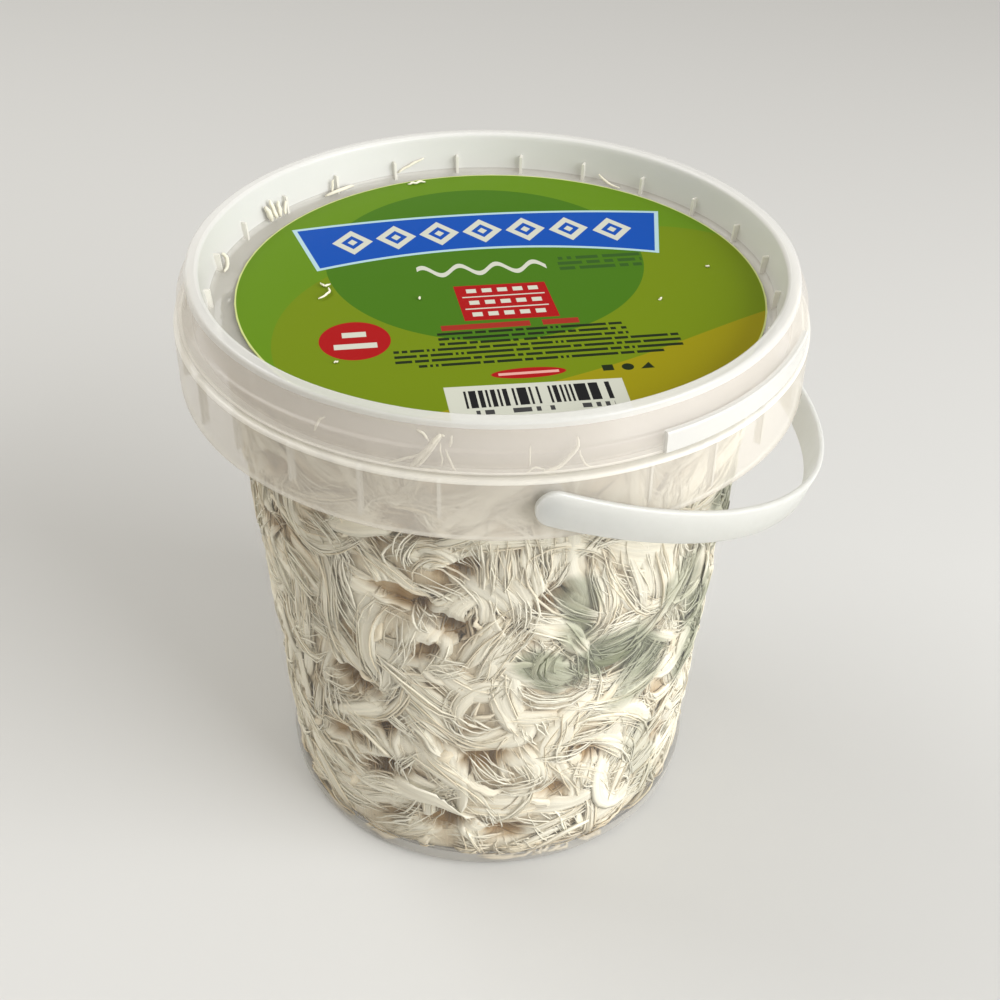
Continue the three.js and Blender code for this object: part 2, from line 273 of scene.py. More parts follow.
def softened(corners, steps):
    """Rounds each corner (r, z, radius, slot) of an open profile with a short arc."""
    points, slots = [], []
    for i, (r, z, radius, slot) in enumerate(corners):
        here = np.array([r, z], float)
        if radius <= 0 or i in (0, len(corners) - 1):
            points.append(here)
            slots.append(slot)
            continue
        before = np.array(corners[i - 1][:2], float) - here
        after = np.array(corners[i + 1][:2], float) - here
        room = min(np.linalg.norm(before), np.linalg.norm(after))
        before, after = before / np.linalg.norm(before), after / np.linalg.norm(after)
        half = math.acos(np.clip(before @ after, -1, 1)) / 2
        cut = min(radius / math.tan(half), MOST_OF_SIDE * room)
        radius = cut * math.tan(half)
        centre = here + (before + after) / np.linalg.norm(before + after) * (radius / math.sin(half))
        start, end = here + before * cut - centre, here + after * cut - centre
        for k in range(steps + 1):
            between = start + (end - start) * k / steps
            points.append(centre + between / np.linalg.norm(between) * radius)
            slots.append(slot)
    return np.array(points), slots


print("a corner gets", CORNER_STEPS + 1, "points unless more are asked for")

# %% [markdown]
# Turning puts each point of the outline on a ring, and a face joins each point to its neighbours.
# The two ends lie on the axis, where a fan of triangles closes the body.

# %% Turning it
TURNS = 192
# waves round the body, millimetres of height for a radian of their phase, and size in millimetres
WAVERS = [(5, 9, 0.035), (13, -7, 0.025)]
WAVER_FULL_R = 40


def mesh_object(name, points, faces, materials, slots=None, smooth_below=40):
    """A new object in millimetres; faces sharper than the angle keep a crisp edge."""
    mesh = bpy.data.meshes.new(name)
    mesh.from_pydata((np.asarray(points, float) * MM).tolist(), [], faces)
    for material in materials:
        mesh.materials.append(material)
    if slots is not None:
        mesh.polygons.foreach_set("material_index", slots)
    mesh.validate()
    mesh.shade_smooth()
    mesh.set_sharp_from_angle(angle=math.radians(smooth_below))
    thing = bpy.data.objects.new(name, mesh)
    scene.collection.objects.link(thing)
    return thing


def turned(corners, steps=CORNER_STEPS):
    """Points and faces of an outline turned round Z. The outline starts and ends on the axis."""
    outline, slots = softened(corners, steps=steps)
    angles = np.linspace(0, 2 * np.pi, TURNS, endpoint=False)
    rows = outline[1:-1]
    points = [(0, 0, outline[0][1]), (0, 0, outline[-1][1])]
    for r, z in rows:
        waver = sum(size * np.sin(waves * angles + z / rise) for waves, rise, size in WAVERS)
        ring = r + waver * min(r / WAVER_FULL_R, 1)
        points += list(zip(ring * np.cos(angles), ring * np.sin(angles), np.full(TURNS, z)))
    faces, face_slots = [], []
    for k in range(TURNS):
        n = (k + 1) % TURNS
        faces.append((0, 2 + n, 2 + k))
        face_slots.append(slots[0])
        last = 2 + (len(rows) - 1) * TURNS
        faces.append((1, last + k, last + n))
        face_slots.append(slots[-2])
        for row in range(len(rows) - 1):
            a, b = 2 + row * TURNS, 2 + (row + 1) * TURNS
            faces.append((a + k, a + n, b + n, b + k))
            face_slots.append(slots[row + 1])
    return points, faces, face_slots


print("profiles are turned in", TURNS, "steps")

# %% [markdown]
# Ribs are thin upright plates that stand out from the axis, with their edges bevelled. Plates, rings
# and turned bodies of one moulding are then gathered into one mesh.

# %% Ribs, and parts of one moulding
RIB_BEVEL = 0.15


def radial_plate(inner, outer, low, high, thick, degrees, lean=0.0):
    """A thin upright plate that points away from the axis; 0 degrees is the front ear."""
    bevel = min(RIB_BEVEL, thick / 3)
    section = [(-1, -1), (1, -1), (1, 1), (-1, 1)]
    a = math.radians(degrees)
    out, side = np.array([math.sin(a), -math.cos(a)]), np.array([math.cos(a), math.sin(a)])
    points = []
    for z, shrink in ((low, 1), (low + bevel, 0), (high - bevel, 0), (high, 1)):
        for across, along in section:
            r = (inner + outer) / 2 + along * ((outer - inner) / 2 - shrink * bevel)
            r += lean * (z - low) / (high - low)
            xy = out * r + side * across * (thick / 2 - shrink * bevel)
            points.append((xy[0], xy[1], z))
    faces = [(3, 2, 1, 0), (12, 13, 14, 15)]
    for ring in (0, 4, 8):
        for k in range(4):
            n = (k + 1) % 4
            faces.append((ring + k, ring + n, ring + 4 + n, ring + 4 + k))
    return points, faces


def gathered(parts):
    """Joins (points, faces, slots) parts into one set of lists."""
    points, faces, slots = [], [], []
    for part_points, part_faces, part_slots in parts:
        start = len(points)
        points += list(part_points)
        faces += [tuple(start + i for i in face) for face in part_faces]
        slots += part_slots if isinstance(part_slots, list) else [part_slots] * len(part_faces)
    return points, faces, slots


print("a rib's edges are bevelled by", RIB_BEVEL, "mm")

# %% [markdown]
# ## The tub
#
# A pail like this is injection moulded in one piece. Its wall leans out a little towards the top. A
# deep collar hangs from a flange round the neck and stiffens it, thin ribs tie the collar to the
# wall, and above the flange a rim holds the lid. The foot is a low ring. The wall is the clearest
# part. The collar is seen through two skins, so it gets a milkier material.

# %% The tub
WALL, COLLAR, RIB, FOOT = 0, 1, 2, 3
BASE_R, NECK_R, SHOULDER_R = 45.4, 52.7, 53.5
COLLAR_LOW, COLLAR_TOP, COLLAR_R = 102.2, 114.4, 60.8
SKIN, BASE_THICK, BASE_ROUND = 1.0, 1.4, 3.2
RIM_R, RIM_TOP, RIM_SKIN = 56.9, 122.4, 0.7
FLANGE_LOW = COLLAR_TOP - SKIN


def wall_outside(z):
    """Outside radius of the wall: straight to the neck, then a little steeper."""
    z = np.asarray(z, float)
    lower = BASE_R + (NECK_R - BASE_R) * z / COLLAR_LOW
    upper = NECK_R + (SHOULDER_R - NECK_R) * (z - COLLAR_LOW) / (COLLAR_TOP - COLLAR_LOW)
    return np.where(z < COLLAR_LOW, lower, upper)


def wall_inside(z):
    """Inside radius of the wall."""
    return wall_outside(z) - SKIN


print("the wall is", round(float(wall_inside(COLLAR_LOW)), 1), "mm from the axis inside the neck")

# %% [markdown]
# The profile runs up the outside of the foot, wall, collar and rim, and comes down again inside.
# Each corner is a radius, a height, a rounding and the material of what follows it. Every third rib
# under the flange reaches lower than its neighbours.

# %% The tub's profile and ribs
FOOT_TOP = 4.4
neck_in, flange_in = float(wall_inside(COLLAR_LOW)), float(wall_inside(FLANGE_LOW))
# the RIB slot also lays the whiter rib plastic on the collar's lower edge and the flange's top, as painted
# highlight lines
tub_profile = [
    (0, 0, 0, FOOT), (29.9, 0, 0.4, FOOT), (30.8, 0.8, 0.4, FOOT), (40.1, 0.8, 0.4, FOOT),
    (41.0, 0, 0.4, FOOT), (BASE_R, 0, BASE_ROUND, FOOT), (float(wall_outside(FOOT_TOP)), FOOT_TOP, 0, WALL),
    (NECK_R, COLLAR_LOW, 0, WALL),
    (float(wall_outside(FLANGE_LOW)), FLANGE_LOW, 0.6, COLLAR), (COLLAR_R - SKIN, FLANGE_LOW, 0.6, COLLAR),
    (COLLAR_R - SKIN, COLLAR_LOW, 0.3, RIB), (COLLAR_R, COLLAR_LOW, 0.4, COLLAR),
    (COLLAR_R, COLLAR_TOP, 0.7, RIB), (RIM_R, COLLAR_TOP, 0.4, COLLAR), (RIM_R, RIM_TOP, 0.3, COLLAR),
    (RIM_R - RIM_SKIN, RIM_TOP, 0.3, COLLAR), (RIM_R - RIM_SKIN - 0.3, COLLAR_TOP, 0.5, COLLAR),
    (flange_in + 0.3, COLLAR_TOP, 0.5, WALL), (flange_in, FLANGE_LOW, 0, WALL),
    (neck_in, COLLAR_LOW, 0, WALL), (float(wall_inside(0)), BASE_THICK, 2.6, FOOT), (0, BASE_THICK, 0, FOOT),
]
parts = [turned(tub_profile)]
COLLAR_RIBS, COLLAR_RIB_FIRST, COLLAR_RIB_STEP = 12, 17.3, 13.22
COLLAR_RIB_DEEP, COLLAR_RIB_THICK, RIB_ROOT = 1.2, 0.5, 0.2
LONG_RIB_LOW, SHORT_RIB_LOW = 103.4, 105.6
collar_in = COLLAR_R - SKIN
for k in range(COLLAR_RIBS):
    for side in (-1, 1):
        low = LONG_RIB_LOW if k % 3 == 1 else SHORT_RIB_LOW
        degrees = side * (COLLAR_RIB_FIRST + COLLAR_RIB_STEP * k)
        points, faces = radial_plate(collar_in - COLLAR_RIB_DEEP, collar_in + RIB_ROOT, low,
                                     FLANGE_LOW + RIB_ROOT, COLLAR_RIB_THICK, degrees)
        parts.append((points, faces, RIB))
points, faces, slots = gathered(parts)
tub_plastics = [wall_plastic, collar_plastic, rib_and_edge_highlight_plastic, foot_plastic]
tub = mesh_object("tub_body", points, faces, tub_plastics, slots)
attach(tub, "tub")
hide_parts("tub")
print("tub:", len(tub.data.polygons), "faces")

# %% [markdown]
# ## The lid
#
# The lid presses over the rim. Its ring is the rounded edge on top, the skirt outside steps out
# once on its way down, and a sunk panel lies inside a low wall that has 24 short ribs at its foot.
# On one side a thicker stretch of skirt gives the fingers a grip. All of it is one moulding, so the
# ribs and the grip are joined into the same mesh.

# %% The lid
RING, PANEL, LID_RIB, SKIRT, INNER = 0, 1, 2, 3, 4
LID_TOP, SKIRT_LOW, SKIRT_STEP = 124.0, 114.9, 119.5
SKIRT_R, RING_R, RING_IN = 60.0, 57.9, 55.3
PANEL_TOP, PANEL_LOW, PANEL_R = 115.8, 114.7, 54.0
RIM_ROOM = 0.3
LID_RIBS, LID_RIB_TOP, LID_RIB_THICK, LID_RIB_LEAN = 24, 119.6, 0.55, 0.35
LID_STEPS = 5
channel_in, channel_top = RIM_R - RIM_SKIN - RIM_ROOM, RIM_TOP + RIM_ROOM
lid_profile = [
    (0, PANEL_LOW, 0, PANEL), (PANEL_R + 1.0, PANEL_LOW, 0.5, INNER), (channel_in, RIM_TOP - 1, 0, RING),
    (channel_in, channel_top, 0.3, RING), (57.1, channel_top, 0.3, SKIRT),
    (58.3, SKIRT_STEP - 0.3, 0.2, SKIRT),
    # the LID_RIB slot lays the whiter rib plastic on the skirt's lower edge, as a painted highlight line
    (SKIRT_R - 0.8, SKIRT_LOW, 0.2, LID_RIB), (SKIRT_R, SKIRT_LOW, 0.35, SKIRT),
    (SKIRT_R - 0.3, SKIRT_STEP - 0.3, 0.35, SKIRT), (SKIRT_R - 0.9, SKIRT_STEP, 0.3, SKIRT),
    (RING_R, LID_TOP - 1.3, 0.4, RING), (RING_R - 0.1, LID_TOP, 1.25, RING), (RING_IN, LID_TOP, 0.8, INNER),
    (PANEL_R, PANEL_TOP, 1.0, PANEL), (0, PANEL_TOP, 0, PANEL),
]
parts = [turned(lid_profile, LID_STEPS)]
for k in range(LID_RIBS):
    points, faces = radial_plate(PANEL_R - 0.9, PANEL_R + 0.5, PANEL_TOP - 0.5, LID_RIB_TOP, LID_RIB_THICK,
                                 k * 360 / LID_RIBS, LID_RIB_LEAN)
    parts.append((points, faces, LID_RIB))
print("the lid gets", len(parts) - 1, "ribs")

# %% [markdown]
# The grip is a bar bent round the skirt between two angles. Its outer edges are bevelled, and its
# back lies inside the skirt, so that the two melt into one shape.

# %% The grip, and the lid as one mesh
GRIP_START, GRIP_END, GRIP_R = 19.3, 62, 60.5


def grip_band(start, end, inner, outer, low, high, steps=24, bevel=0.3):
    """The thicker stretch of skirt: a bevelled bar bent round the lid, from angle to angle."""
    section = [(inner, low), (outer - bevel, low), (outer, low + bevel), (outer, high - bevel),
               (outer - bevel, high), (inner, high)]
    points, faces = [], []
    for k in range(steps + 1):
        a = math.radians(start + (end - start) * k / steps)
        points += [(r * math.sin(a), -r * math.cos(a), z) for r, z in section]
    n = len(section)
    for k in range(steps):
        for i in range(n):
            j = (i + 1) % n
            faces.append((k * n + i, (k + 1) * n + i, (k + 1) * n + j, k * n + j))
    faces.append(tuple(range(n)))
    faces.append(tuple(range(steps * n + n - 1, steps * n - 1, -1)))
    return points, faces


points, faces = grip_band(GRIP_START, GRIP_END, SKIRT_R - 0.7, GRIP_R, SKIRT_LOW + 0.1, SKIRT_STEP - 0.3)
parts.append((points, faces, RING))
points, faces, slots = gathered(parts)
lid_plastics = [ring_plastic, panel_plastic, rib_and_edge_highlight_plastic, skirt_plastic, inner_plastic]
lid = mesh_object("lid_cover", points, faces, lid_plastics, slots)
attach(lid, "tub")
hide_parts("lid")
print("lid:", len(lid.data.polygons), "faces")

# %% [markdown]
# ## The handle
#
# The handle is a flat strap cut from soft white plastic, bent round the tub from ear to ear, with a
# round end and a stud at each ear. A rounded rectangle is swept along a squarish ellipse, and the
# strap narrows to a half circle past each stud. It is drawn level and then tipped down about the
# hinge, the way it droops when it is let go.

# %% The handle
HINGE_Z, DROOP = 110.0, math.radians(21.4)
HALF, REACH, POWER = 62.4, 70.0, 2.1
STRAP_WIDTH, STRAP_THICK, TAIL = 6.8, 1.2, 2.7
STRAP_BEVEL = 0.35


def strap_line(steps=120, tail_steps=14):
    """Points of the strap's middle line and the strap's half width at each of them."""
    angles = np.linspace(np.pi / 2, -np.pi / 2, steps)
    power = 2 / POWER
    x = REACH * np.abs(np.cos(angles)) ** power
    y = HALF * np.abs(np.sin(angles)) ** power * np.sign(np.sin(angles))
    end_middle = STRAP_WIDTH / 2 - TAIL
    ramp = np.linspace(0, 1, tail_steps, endpoint=False)
    tail_x = -TAIL + (TAIL + x[1] * 0.5) * (1 - np.cos(ramp * np.pi / 2))
    x = np.concatenate([tail_x, x[1:-1], tail_x[::-1]])
    y = np.concatenate([np.full(tail_steps, y[0]), y[1:-1], np.full(tail_steps, y[-1])])
    half = STRAP_WIDTH / 2
    inside = np.clip(half ** 2 - np.minimum(x - end_middle, 0) ** 2, 0.02, None)
    return np.stack([x, y], 1), np.sqrt(inside)


def strap():
    """The strap's section, swept along its middle line."""
    middle_line, half_widths = strap_line()
    tangent = np.gradient(middle_line, axis=0)
    tangent /= np.linalg.norm(tangent, axis=1)[:, None]
    out = np.stack([-tangent[:, 1], tangent[:, 0]], 1)
    flat, soft = STRAP_THICK / 2, STRAP_BEVEL
    points, faces = [], []
    for (x, y), (ox, oy), half in zip(middle_line, out, half_widths):
        bevel = min(soft, half * 0.5)
        section = [(-flat, -half + bevel), (-flat + soft * 0.3, -half + bevel * 0.3), (-flat + soft, -half),
                   (flat - soft, -half), (flat - soft * 0.3, -half + bevel * 0.3), (flat, -half + bevel)]
        section += [(a, -b) for a, b in reversed(section)]
        points += [(x + a * ox, y + a * oy, b) for a, b in section]
    n = len(section)
    for k in range(len(middle_line) - 1):
        for i in range(n):
            j = (i + 1) % n
            faces.append((k * n + i, k * n + j, (k + 1) * n + j, (k + 1) * n + i))
    faces.append(tuple(range(n - 1, -1, -1)))
    last = (len(middle_line) - 1) * n
    faces.append(tuple(range(last, last + n)))
    return points, faces, 0


middle_line, half_widths = strap_line()
strap_length = np.linalg.norm(np.diff(middle_line, axis=0), axis=1).sum()
print("the strap is", round(float(strap_length), 1), "mm long when it is laid out straight")

# %% [markdown]
# A stud is a pin with a flat head. It starts at the strap's inner face, runs through the hole in the
# collar, and its head holds it from inside. Strap and studs are gathered into one mesh, which rides
# on the handle's own body, so that it swings.

# %% The studs, and the handle as one mesh
STUD_R, HEAD_R, HEAD_THICK, HEAD_ROUND = 1.9, 2.8, 0.8, 0.2
STUD_SIDES, TIP_R = 32, 0.01
HEAD_ROOM, STRAP_ROOM = 0.6, 0.05


def stud(side):
    """The pin through the collar with its flat head inside; side is 1 or -1 along Y."""
    face = COLLAR_R - SKIN - HEAD_ROOM
    start, end = HALF - STRAP_THICK / 2 + STRAP_ROOM, face - HEAD_THICK
    profile = [(TIP_R, start), (STUD_R, start), (STUD_R, face),
               (HEAD_R - HEAD_ROUND, face), (HEAD_R, face - HEAD_ROUND),
               (HEAD_R, end + HEAD_ROUND), (HEAD_R - HEAD_ROUND, end), (TIP_R, end)]
    points, faces = [], []
    for r, y in profile:
        for k in range(STUD_SIDES):
            a = 2 * math.pi * k / STUD_SIDES
            points.append((r * math.cos(a), side * y, side * r * math.sin(a)))
    for row in range(len(profile) - 1):
        for k in range(STUD_SIDES):
            n = (k + 1) % STUD_SIDES
            a, b = row * STUD_SIDES, (row + 1) * STUD_SIDES
            faces.append((a + k, b + k, b + n, a + n))
    faces.append(tuple(range(STUD_SIDES)))
    faces.append(tuple(range(len(points) - 1, len(points) - STUD_SIDES - 1, -1)))
    return points, faces, 0


points, faces, slots = gathered([strap(), stud(1), stud(-1)])
level = np.array(points)
tipped = level.copy()
tipped[:, 0] = level[:, 0] * math.cos(DROOP) + level[:, 2] * math.sin(DROOP)
tipped[:, 2] = HINGE_Z - level[:, 0] * math.sin(DROOP) + level[:, 2] * math.cos(DROOP)
handle = mesh_object("strap_handle", tipped, faces, [strap_plastic], smooth_below=50)
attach(handle, "handle")
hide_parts("handle")
print("handle:", len(handle.data.polygons), "faces, lowest point", round(tipped[:, 2].min(), 1), "mm")

# %% [markdown]
# ## The label's print
#
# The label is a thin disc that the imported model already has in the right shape, so it stays, and
# only its finish is made here. A picture file would do it, but shapes drawn by the shader stay
# sharp at any size. Each shape is a number that is one inside and zero outside, worked out from the
# place on the label in millimetres, and colours are laid over each other through these numbers,
# like screen printing. The print is kept plain: overlapping green fields, a yellow foot, a blue
# banner with lozenges, red badges, rules of dark dashes and a striped box. A class keeps the shader
# and its few kinds of shape together.

# %% The label's print
EDGE_SOFT = 0.08
ROW_APART = 37.0


class Print:
    """Flat shapes laid over each other on a material's base colour, in millimetres."""

    def __init__(self, material):
        self.nodes, self.links = material.node_tree.nodes, material.node_tree.links
        self.shader = self.nodes["Principled BSDF"]
        where = self.nodes.new("ShaderNodeTexCoord").outputs["Object"]
        self.place = self.vector("SCALE", where, Scale=1 / MM)
        parts = self.nodes.new("ShaderNodeSeparateXYZ")
        self.links.new(self.place, parts.inputs[0])
        self.x, self.y = parts.outputs["X"], parts.outputs["Y"]
        self.color = None

    def fill(self, socket, value):
        """Gives a socket either a plain value or another node's result."""
        if isinstance(value, bpy.types.NodeSocket):
            self.links.new(value, socket)
        else:
            socket.default_value = value

    def vector(self, operation, a, b=None, output="Vector", **named):
        """One step of reckoning with places."""
        node = self.nodes.new("ShaderNodeVectorMath")
        node.operation = operation
        self.fill(node.inputs[0], a)
        if b is not None:
            self.fill(node.inputs[1], b)
        for name, value in named.items():
            node.inputs[name].default_value = value
        return node.outputs[output]

    def calc(self, operation, *values, clamp=False):
        """One step of reckoning with numbers."""
        node = self.nodes.new("ShaderNodeMath")
        node.operation = operation
        node.use_clamp = clamp
        for socket, value in zip(node.inputs, values):
            self.fill(socket, value)
        return node.outputs[0]

    def inside(self, distance):
        """One where the distance from the shape's edge is negative, zero where it is positive."""
        return self.calc("MULTIPLY_ADD", distance, -1 / EDGE_SOFT, 0.5, clamp=True)

    def beyond(self, start, end):
        """Distance to the right of a line that runs from start to end."""
        along = Vector(end) - Vector(start)
        out = Vector((along.y, -along.x)).normalized()
        reach = self.vector("DOT_PRODUCT", self.place, (out.x, out.y, 0), output="Value")
        return self.calc("SUBTRACT", reach, out.dot(Vector(start)))

    def widest(self, distances):
        """The largest of some distances, which cuts a shape by all its edges."""
        reach = distances[0]
        for other in distances[1:]:
            reach = self.calc("MAXIMUM", reach, other)
        return reach

    def polygon(self, *corners):
        """A convex shape; its corners run anticlockwise."""
        ends = corners[1:] + corners[:1]
        return self.inside(self.widest([self.beyond(a, b) for a, b in zip(corners, ends)]))

    def block(self, x, y, half_x, half_y):
        """An upright rectangle, by its middle and half sizes."""
        return self.polygon((x - half_x, y - half_y), (x + half_x, y - half_y),
                            (x + half_x, y + half_y), (x - half_x, y + half_y))

    def ellipse(self, x, y, half_x, half_y):
        """An ellipse by its middle and half sizes."""
        away = self.vector("SUBTRACT", self.place, (x, y, 0))
        away = self.vector("MULTIPLY", away, (1 / half_x, 1 / half_y, 0))
        share = self.calc("SUBTRACT", self.vector("LENGTH", away, output="Value"), 1)
        return self.inside(self.calc("MULTIPLY", share, min(half_x, half_y)))

    def both(self, *shapes):
        """Where all the shapes overlap."""
        mask = shapes[0]
        for other in shapes[1:]:
            mask = self.calc("MULTIPLY", mask, other)
        return mask

    def bow(self, height, rise, half, sign):
        """Distance beyond a bowed edge: straight height at the ends, higher by rise in the middle."""
        squared = self.calc("POWER", self.calc("DIVIDE", self.x, half), 2)
        curve = self.calc("MULTIPLY_ADD", squared, -rise, height + rise)
        return self.calc("MULTIPLY", self.calc("SUBTRACT", self.y, curve), sign)

    def dashes(self, left, right, top, pitch, rows, thick, grain, share):
        """Rows of short dashes of uneven length between left and right."""
        down = self.calc("DIVIDE", self.calc("SUBTRACT", top, self.y), pitch)
        row = self.calc("FLOOR", down)
        in_row = self.calc("LESS_THAN", self.calc("FRACT", down), thick)
        column = self.calc("FLOOR", self.calc("DIVIDE", self.x, grain))
        cell = self.calc("ADD", column, self.calc("MULTIPLY", row, ROW_APART))
        luck = self.nodes.new("ShaderNodeTexWhiteNoise")
        luck.noise_dimensions = "1D"
        self.links.new(cell, luck.inputs["W"])
        drawn = self.calc("LESS_THAN", luck.outputs["Value"], share)
        foot = top - rows * pitch
        field = self.polygon((left, foot), (right, foot), (right, top), (left, top))
        return self.both(in_row, drawn, field)

    def lay(self, mask, color):
        """Prints one colour through a mask over what is there; the first colour needs none."""
        if self.color is None:
            base = self.nodes.new("ShaderNodeRGB")
            base.outputs[0].default_value = linear(*color)
            self.color = base.outputs[0]
            return
        mix = self.nodes.new("ShaderNodeMix")
        mix.data_type = "RGBA"
        self.fill(mix.inputs["Factor"], mask)
        self.links.new(self.color, mix.inputs["A"])
        mix.inputs["B"].default_value = linear(*color)
        self.color = mix.outputs["Result"]


print("an edge of the print is", EDGE_SOFT, "mm soft")

# %% [markdown]
# The large fields come first. The yellow foot is cut off by a slanting line that a slow sine bends.

# %% The green and yellow fields
WHITE_INK, GREEN, DARK_GREEN, OLIVE = (196, 198, 184), (92, 129, 10), (64, 109, 8), (106, 127, 2)
YELLOW, BLUE, PALE_BLUE, RED = (142, 134, 0), (0, 72, 164), (168, 198, 204), (158, 6, 10)
DARK, SHADED_GREEN, RUST, PINK = (22, 36, 8), (46, 84, 24), (150, 40, 26), (214, 160, 150)
BLACK, GREY, PALE_EDGE = (22, 22, 24), (60, 60, 60), (196, 204, 132)
# middle, half sizes and colour
FIELDS = [(32, -5, 28, 27, OLIVE), (-8, -18, 35, 35, OLIVE), (0, 11.5, 31.5, 31.5, DARK_GREEN)]
FOOT_RIGHT, FOOT_LEFT = (49, -16.6), (10, -32.4)
FOOT_BENDS, FOOT_BEND_SIZE = 0.09, 0.9

film = new_material("printed_label_film", GREEN, 0.5, IOR=PLASTIC_IOR, Specular_IOR_Level=0.12)
small_waves(film, 60, 0.0002)
ink = Print(film)
ink.lay(None, GREEN)
for *ellipse, color in FIELDS:
    ink.lay(ink.ellipse(*ellipse), color)
foot_bend = ink.calc("MULTIPLY", ink.calc("SINE", ink.calc("MULTIPLY", ink.x, FOOT_BENDS)), FOOT_BEND_SIZE)
ink.lay(ink.inside(ink.calc("ADD", ink.beyond(FOOT_RIGHT, FOOT_LEFT), foot_bend)), YELLOW)
print("label fields laid:", len(FIELDS) + 1)

# %% [markdown]
# The banner bows upwards, so its long edges are parabolas. Its border is the same shape a little
# larger. A row of lozenges stands on it, as on a woven ribbon.

# %% The banner
# height of an edge at its ends, how much higher it is in the middle, half its length, and its side
TOP_BOW, LOW_BOW = (27.8, 3.1, 37, 1), (11.2, 5.4, 33.5, -1)
LEFT_END, RIGHT_END = ((-36.3, 27.9), (-32.5, 11.1)), ((34.6, 11.3), (38.4, 27.7))
BANNER_BORDER = 0.85
LOZENGES, LOZENGE_STEP, LOZENGE_MIDDLE = 7, 8.9, 1.2
LOZENGE_Y, LOZENGE_RISE, LOZENGE_BOW_HALF = 19.4, 4.4, 37
LOZENGE_SIZES = [(4.1, 5.2, WHITE_INK), (2.3, 2.9, BLUE), (1.0, 1.3, WHITE_INK)]

for grow, color in ((BANNER_BORDER, PALE_BLUE), (0.0, BLUE)):
    edges = [ink.bow(*TOP_BOW), ink.bow(*LOW_BOW), ink.beyond(*LEFT_END), ink.beyond(*RIGHT_END)]
    ink.lay(ink.inside(ink.calc("SUBTRACT", ink.widest(edges), grow)), color)
for k in range(LOZENGES):
    x = LOZENGE_MIDDLE + (k - LOZENGES // 2) * LOZENGE_STEP
    y = LOZENGE_Y + LOZENGE_RISE * (1 - (x / LOZENGE_BOW_HALF) ** 2)
    for half_x, half_y, color in LOZENGE_SIZES:
        ink.lay(ink.polygon((x - half_x, y), (x, y - half_y), (x + half_x, y), (x, y + half_y)), color)
print("banner:", LOZENGES, "lozenges")

# %% [markdown]
# Below the banner lie a white wave, a few dark dashes and a red badge. The badge is crossed by two
# fine rules, with a row of small blocks above, between and below them.

# %% The wave and the red badge
WAVE_TURNS, WAVE_RISE, WAVE_Y, WAVE_HALF = 0.85, 1.7, 7.6, 0.85
WAVE_FIELD = (-1.25, 7.5, 12.75, 5.5)
BADGE = [(-7.3, -12.2), (10.6, -12.6), (10.0, 0.9), (-7.8, 1.1)]
BADGE_RULES, RULE_X, RULE_HALF = (-3.4, -7.9), 1.35, (7.95, 0.2)
BADGE_ROWS, BLOCKS, BLOCK_FIRST, BLOCK_STEP, BLOCK_HALF = (-1.1, -5.6, -10.0), 5, -4.6, 3.0, (0.95, 0.75)

wave = ink.calc("MULTIPLY", ink.calc("SINE", ink.calc("MULTIPLY", ink.x, WAVE_TURNS)), WAVE_RISE)
from_wave = ink.calc("ABSOLUTE", ink.calc("SUBTRACT", ink.calc("SUBTRACT", ink.y, WAVE_Y), wave))
line = ink.inside(ink.calc("SUBTRACT", from_wave, WAVE_HALF))
ink.lay(ink.both(line, ink.block(*WAVE_FIELD)), WHITE_INK)
ink.lay(ink.dashes(14, 31, 10.6, 2.1, 3, 0.6, 0.9, 0.75), SHADED_GREEN)
ink.lay(ink.polygon(*BADGE), RED)
for y in BADGE_RULES:
    ink.lay(ink.block(RULE_X, y, *RULE_HALF), WHITE_INK)
for y in BADGE_ROWS:
    for k in range(BLOCKS):
        ink.lay(ink.block(BLOCK_FIRST + BLOCK_STEP * k, y, *BLOCK_HALF), WHITE_INK)
print("badge:", len(BADGE_ROWS) * BLOCKS, "blocks")

# %% [markdown]
# Rows of dashes stand for small print. A random number for each narrow column decides whether it is
# printed, and the same trick makes the stripes of the white box. A round red badge, a red oval and
# three small dark marks lie between them, and a pale edge runs round the film.

# %% Dashes, marks and stripes
# left, right, top, height of a row, rows, printed share of a row's height, column, printed share
DASHES = [
    (-12, 14, -13.4, 2.4, 1, 0.8, 2.3, 0.8, RUST), (-13, 22, -16.0, 1.75, 3, 0.5, 0.5, 0.8, DARK),
    (-21.5, 31, -21.25, 1.75, 3, 0.5, 0.5, 0.82, DARK), (-17.5, 27, -26.5, 1.75, 1, 0.5, 0.5, 0.82, DARK),
]
STRIPES = [
    (-11.0, 15.4, -36.0, 5.4, 1, 1.0, 0.42, 0.52, BLACK), (-9.5, 14.5, -42.2, 1.4, 1, 1.0, 0.8, 0.5, GREY),
]
STRIPED_BOX = [(-13.9, -47.5), (17.1, -47.5), (17.3, -35.2), (-14.1, -34.3)]
ROUND_BADGE, ROUND_BADGE_BARS = (-28.0, -16.7, 6.5, 6.7), [(-28.0, -14.6, 2.2, 0.9), (-28.0, -18.6, 3.9, 0.9)]
OVAL, OVAL_BAR = (1.4, -31.4, 6.7, 1.7), (1.4, -31.4, 5.4, 0.4)
SQUARE_MARK, ROUND_MARK = (15.6, -31.55, 1.0, 0.95), (19.2, -31.7, 1.1, 1.1)
THREE_SIDED_MARK = [(21.4, -32.6), (23.9, -32.6), (23.2, -30.6)]
LABEL_MIDDLE, LABEL_R, LABEL_EDGE = (1.5, -0.25), 50.8, 0.35

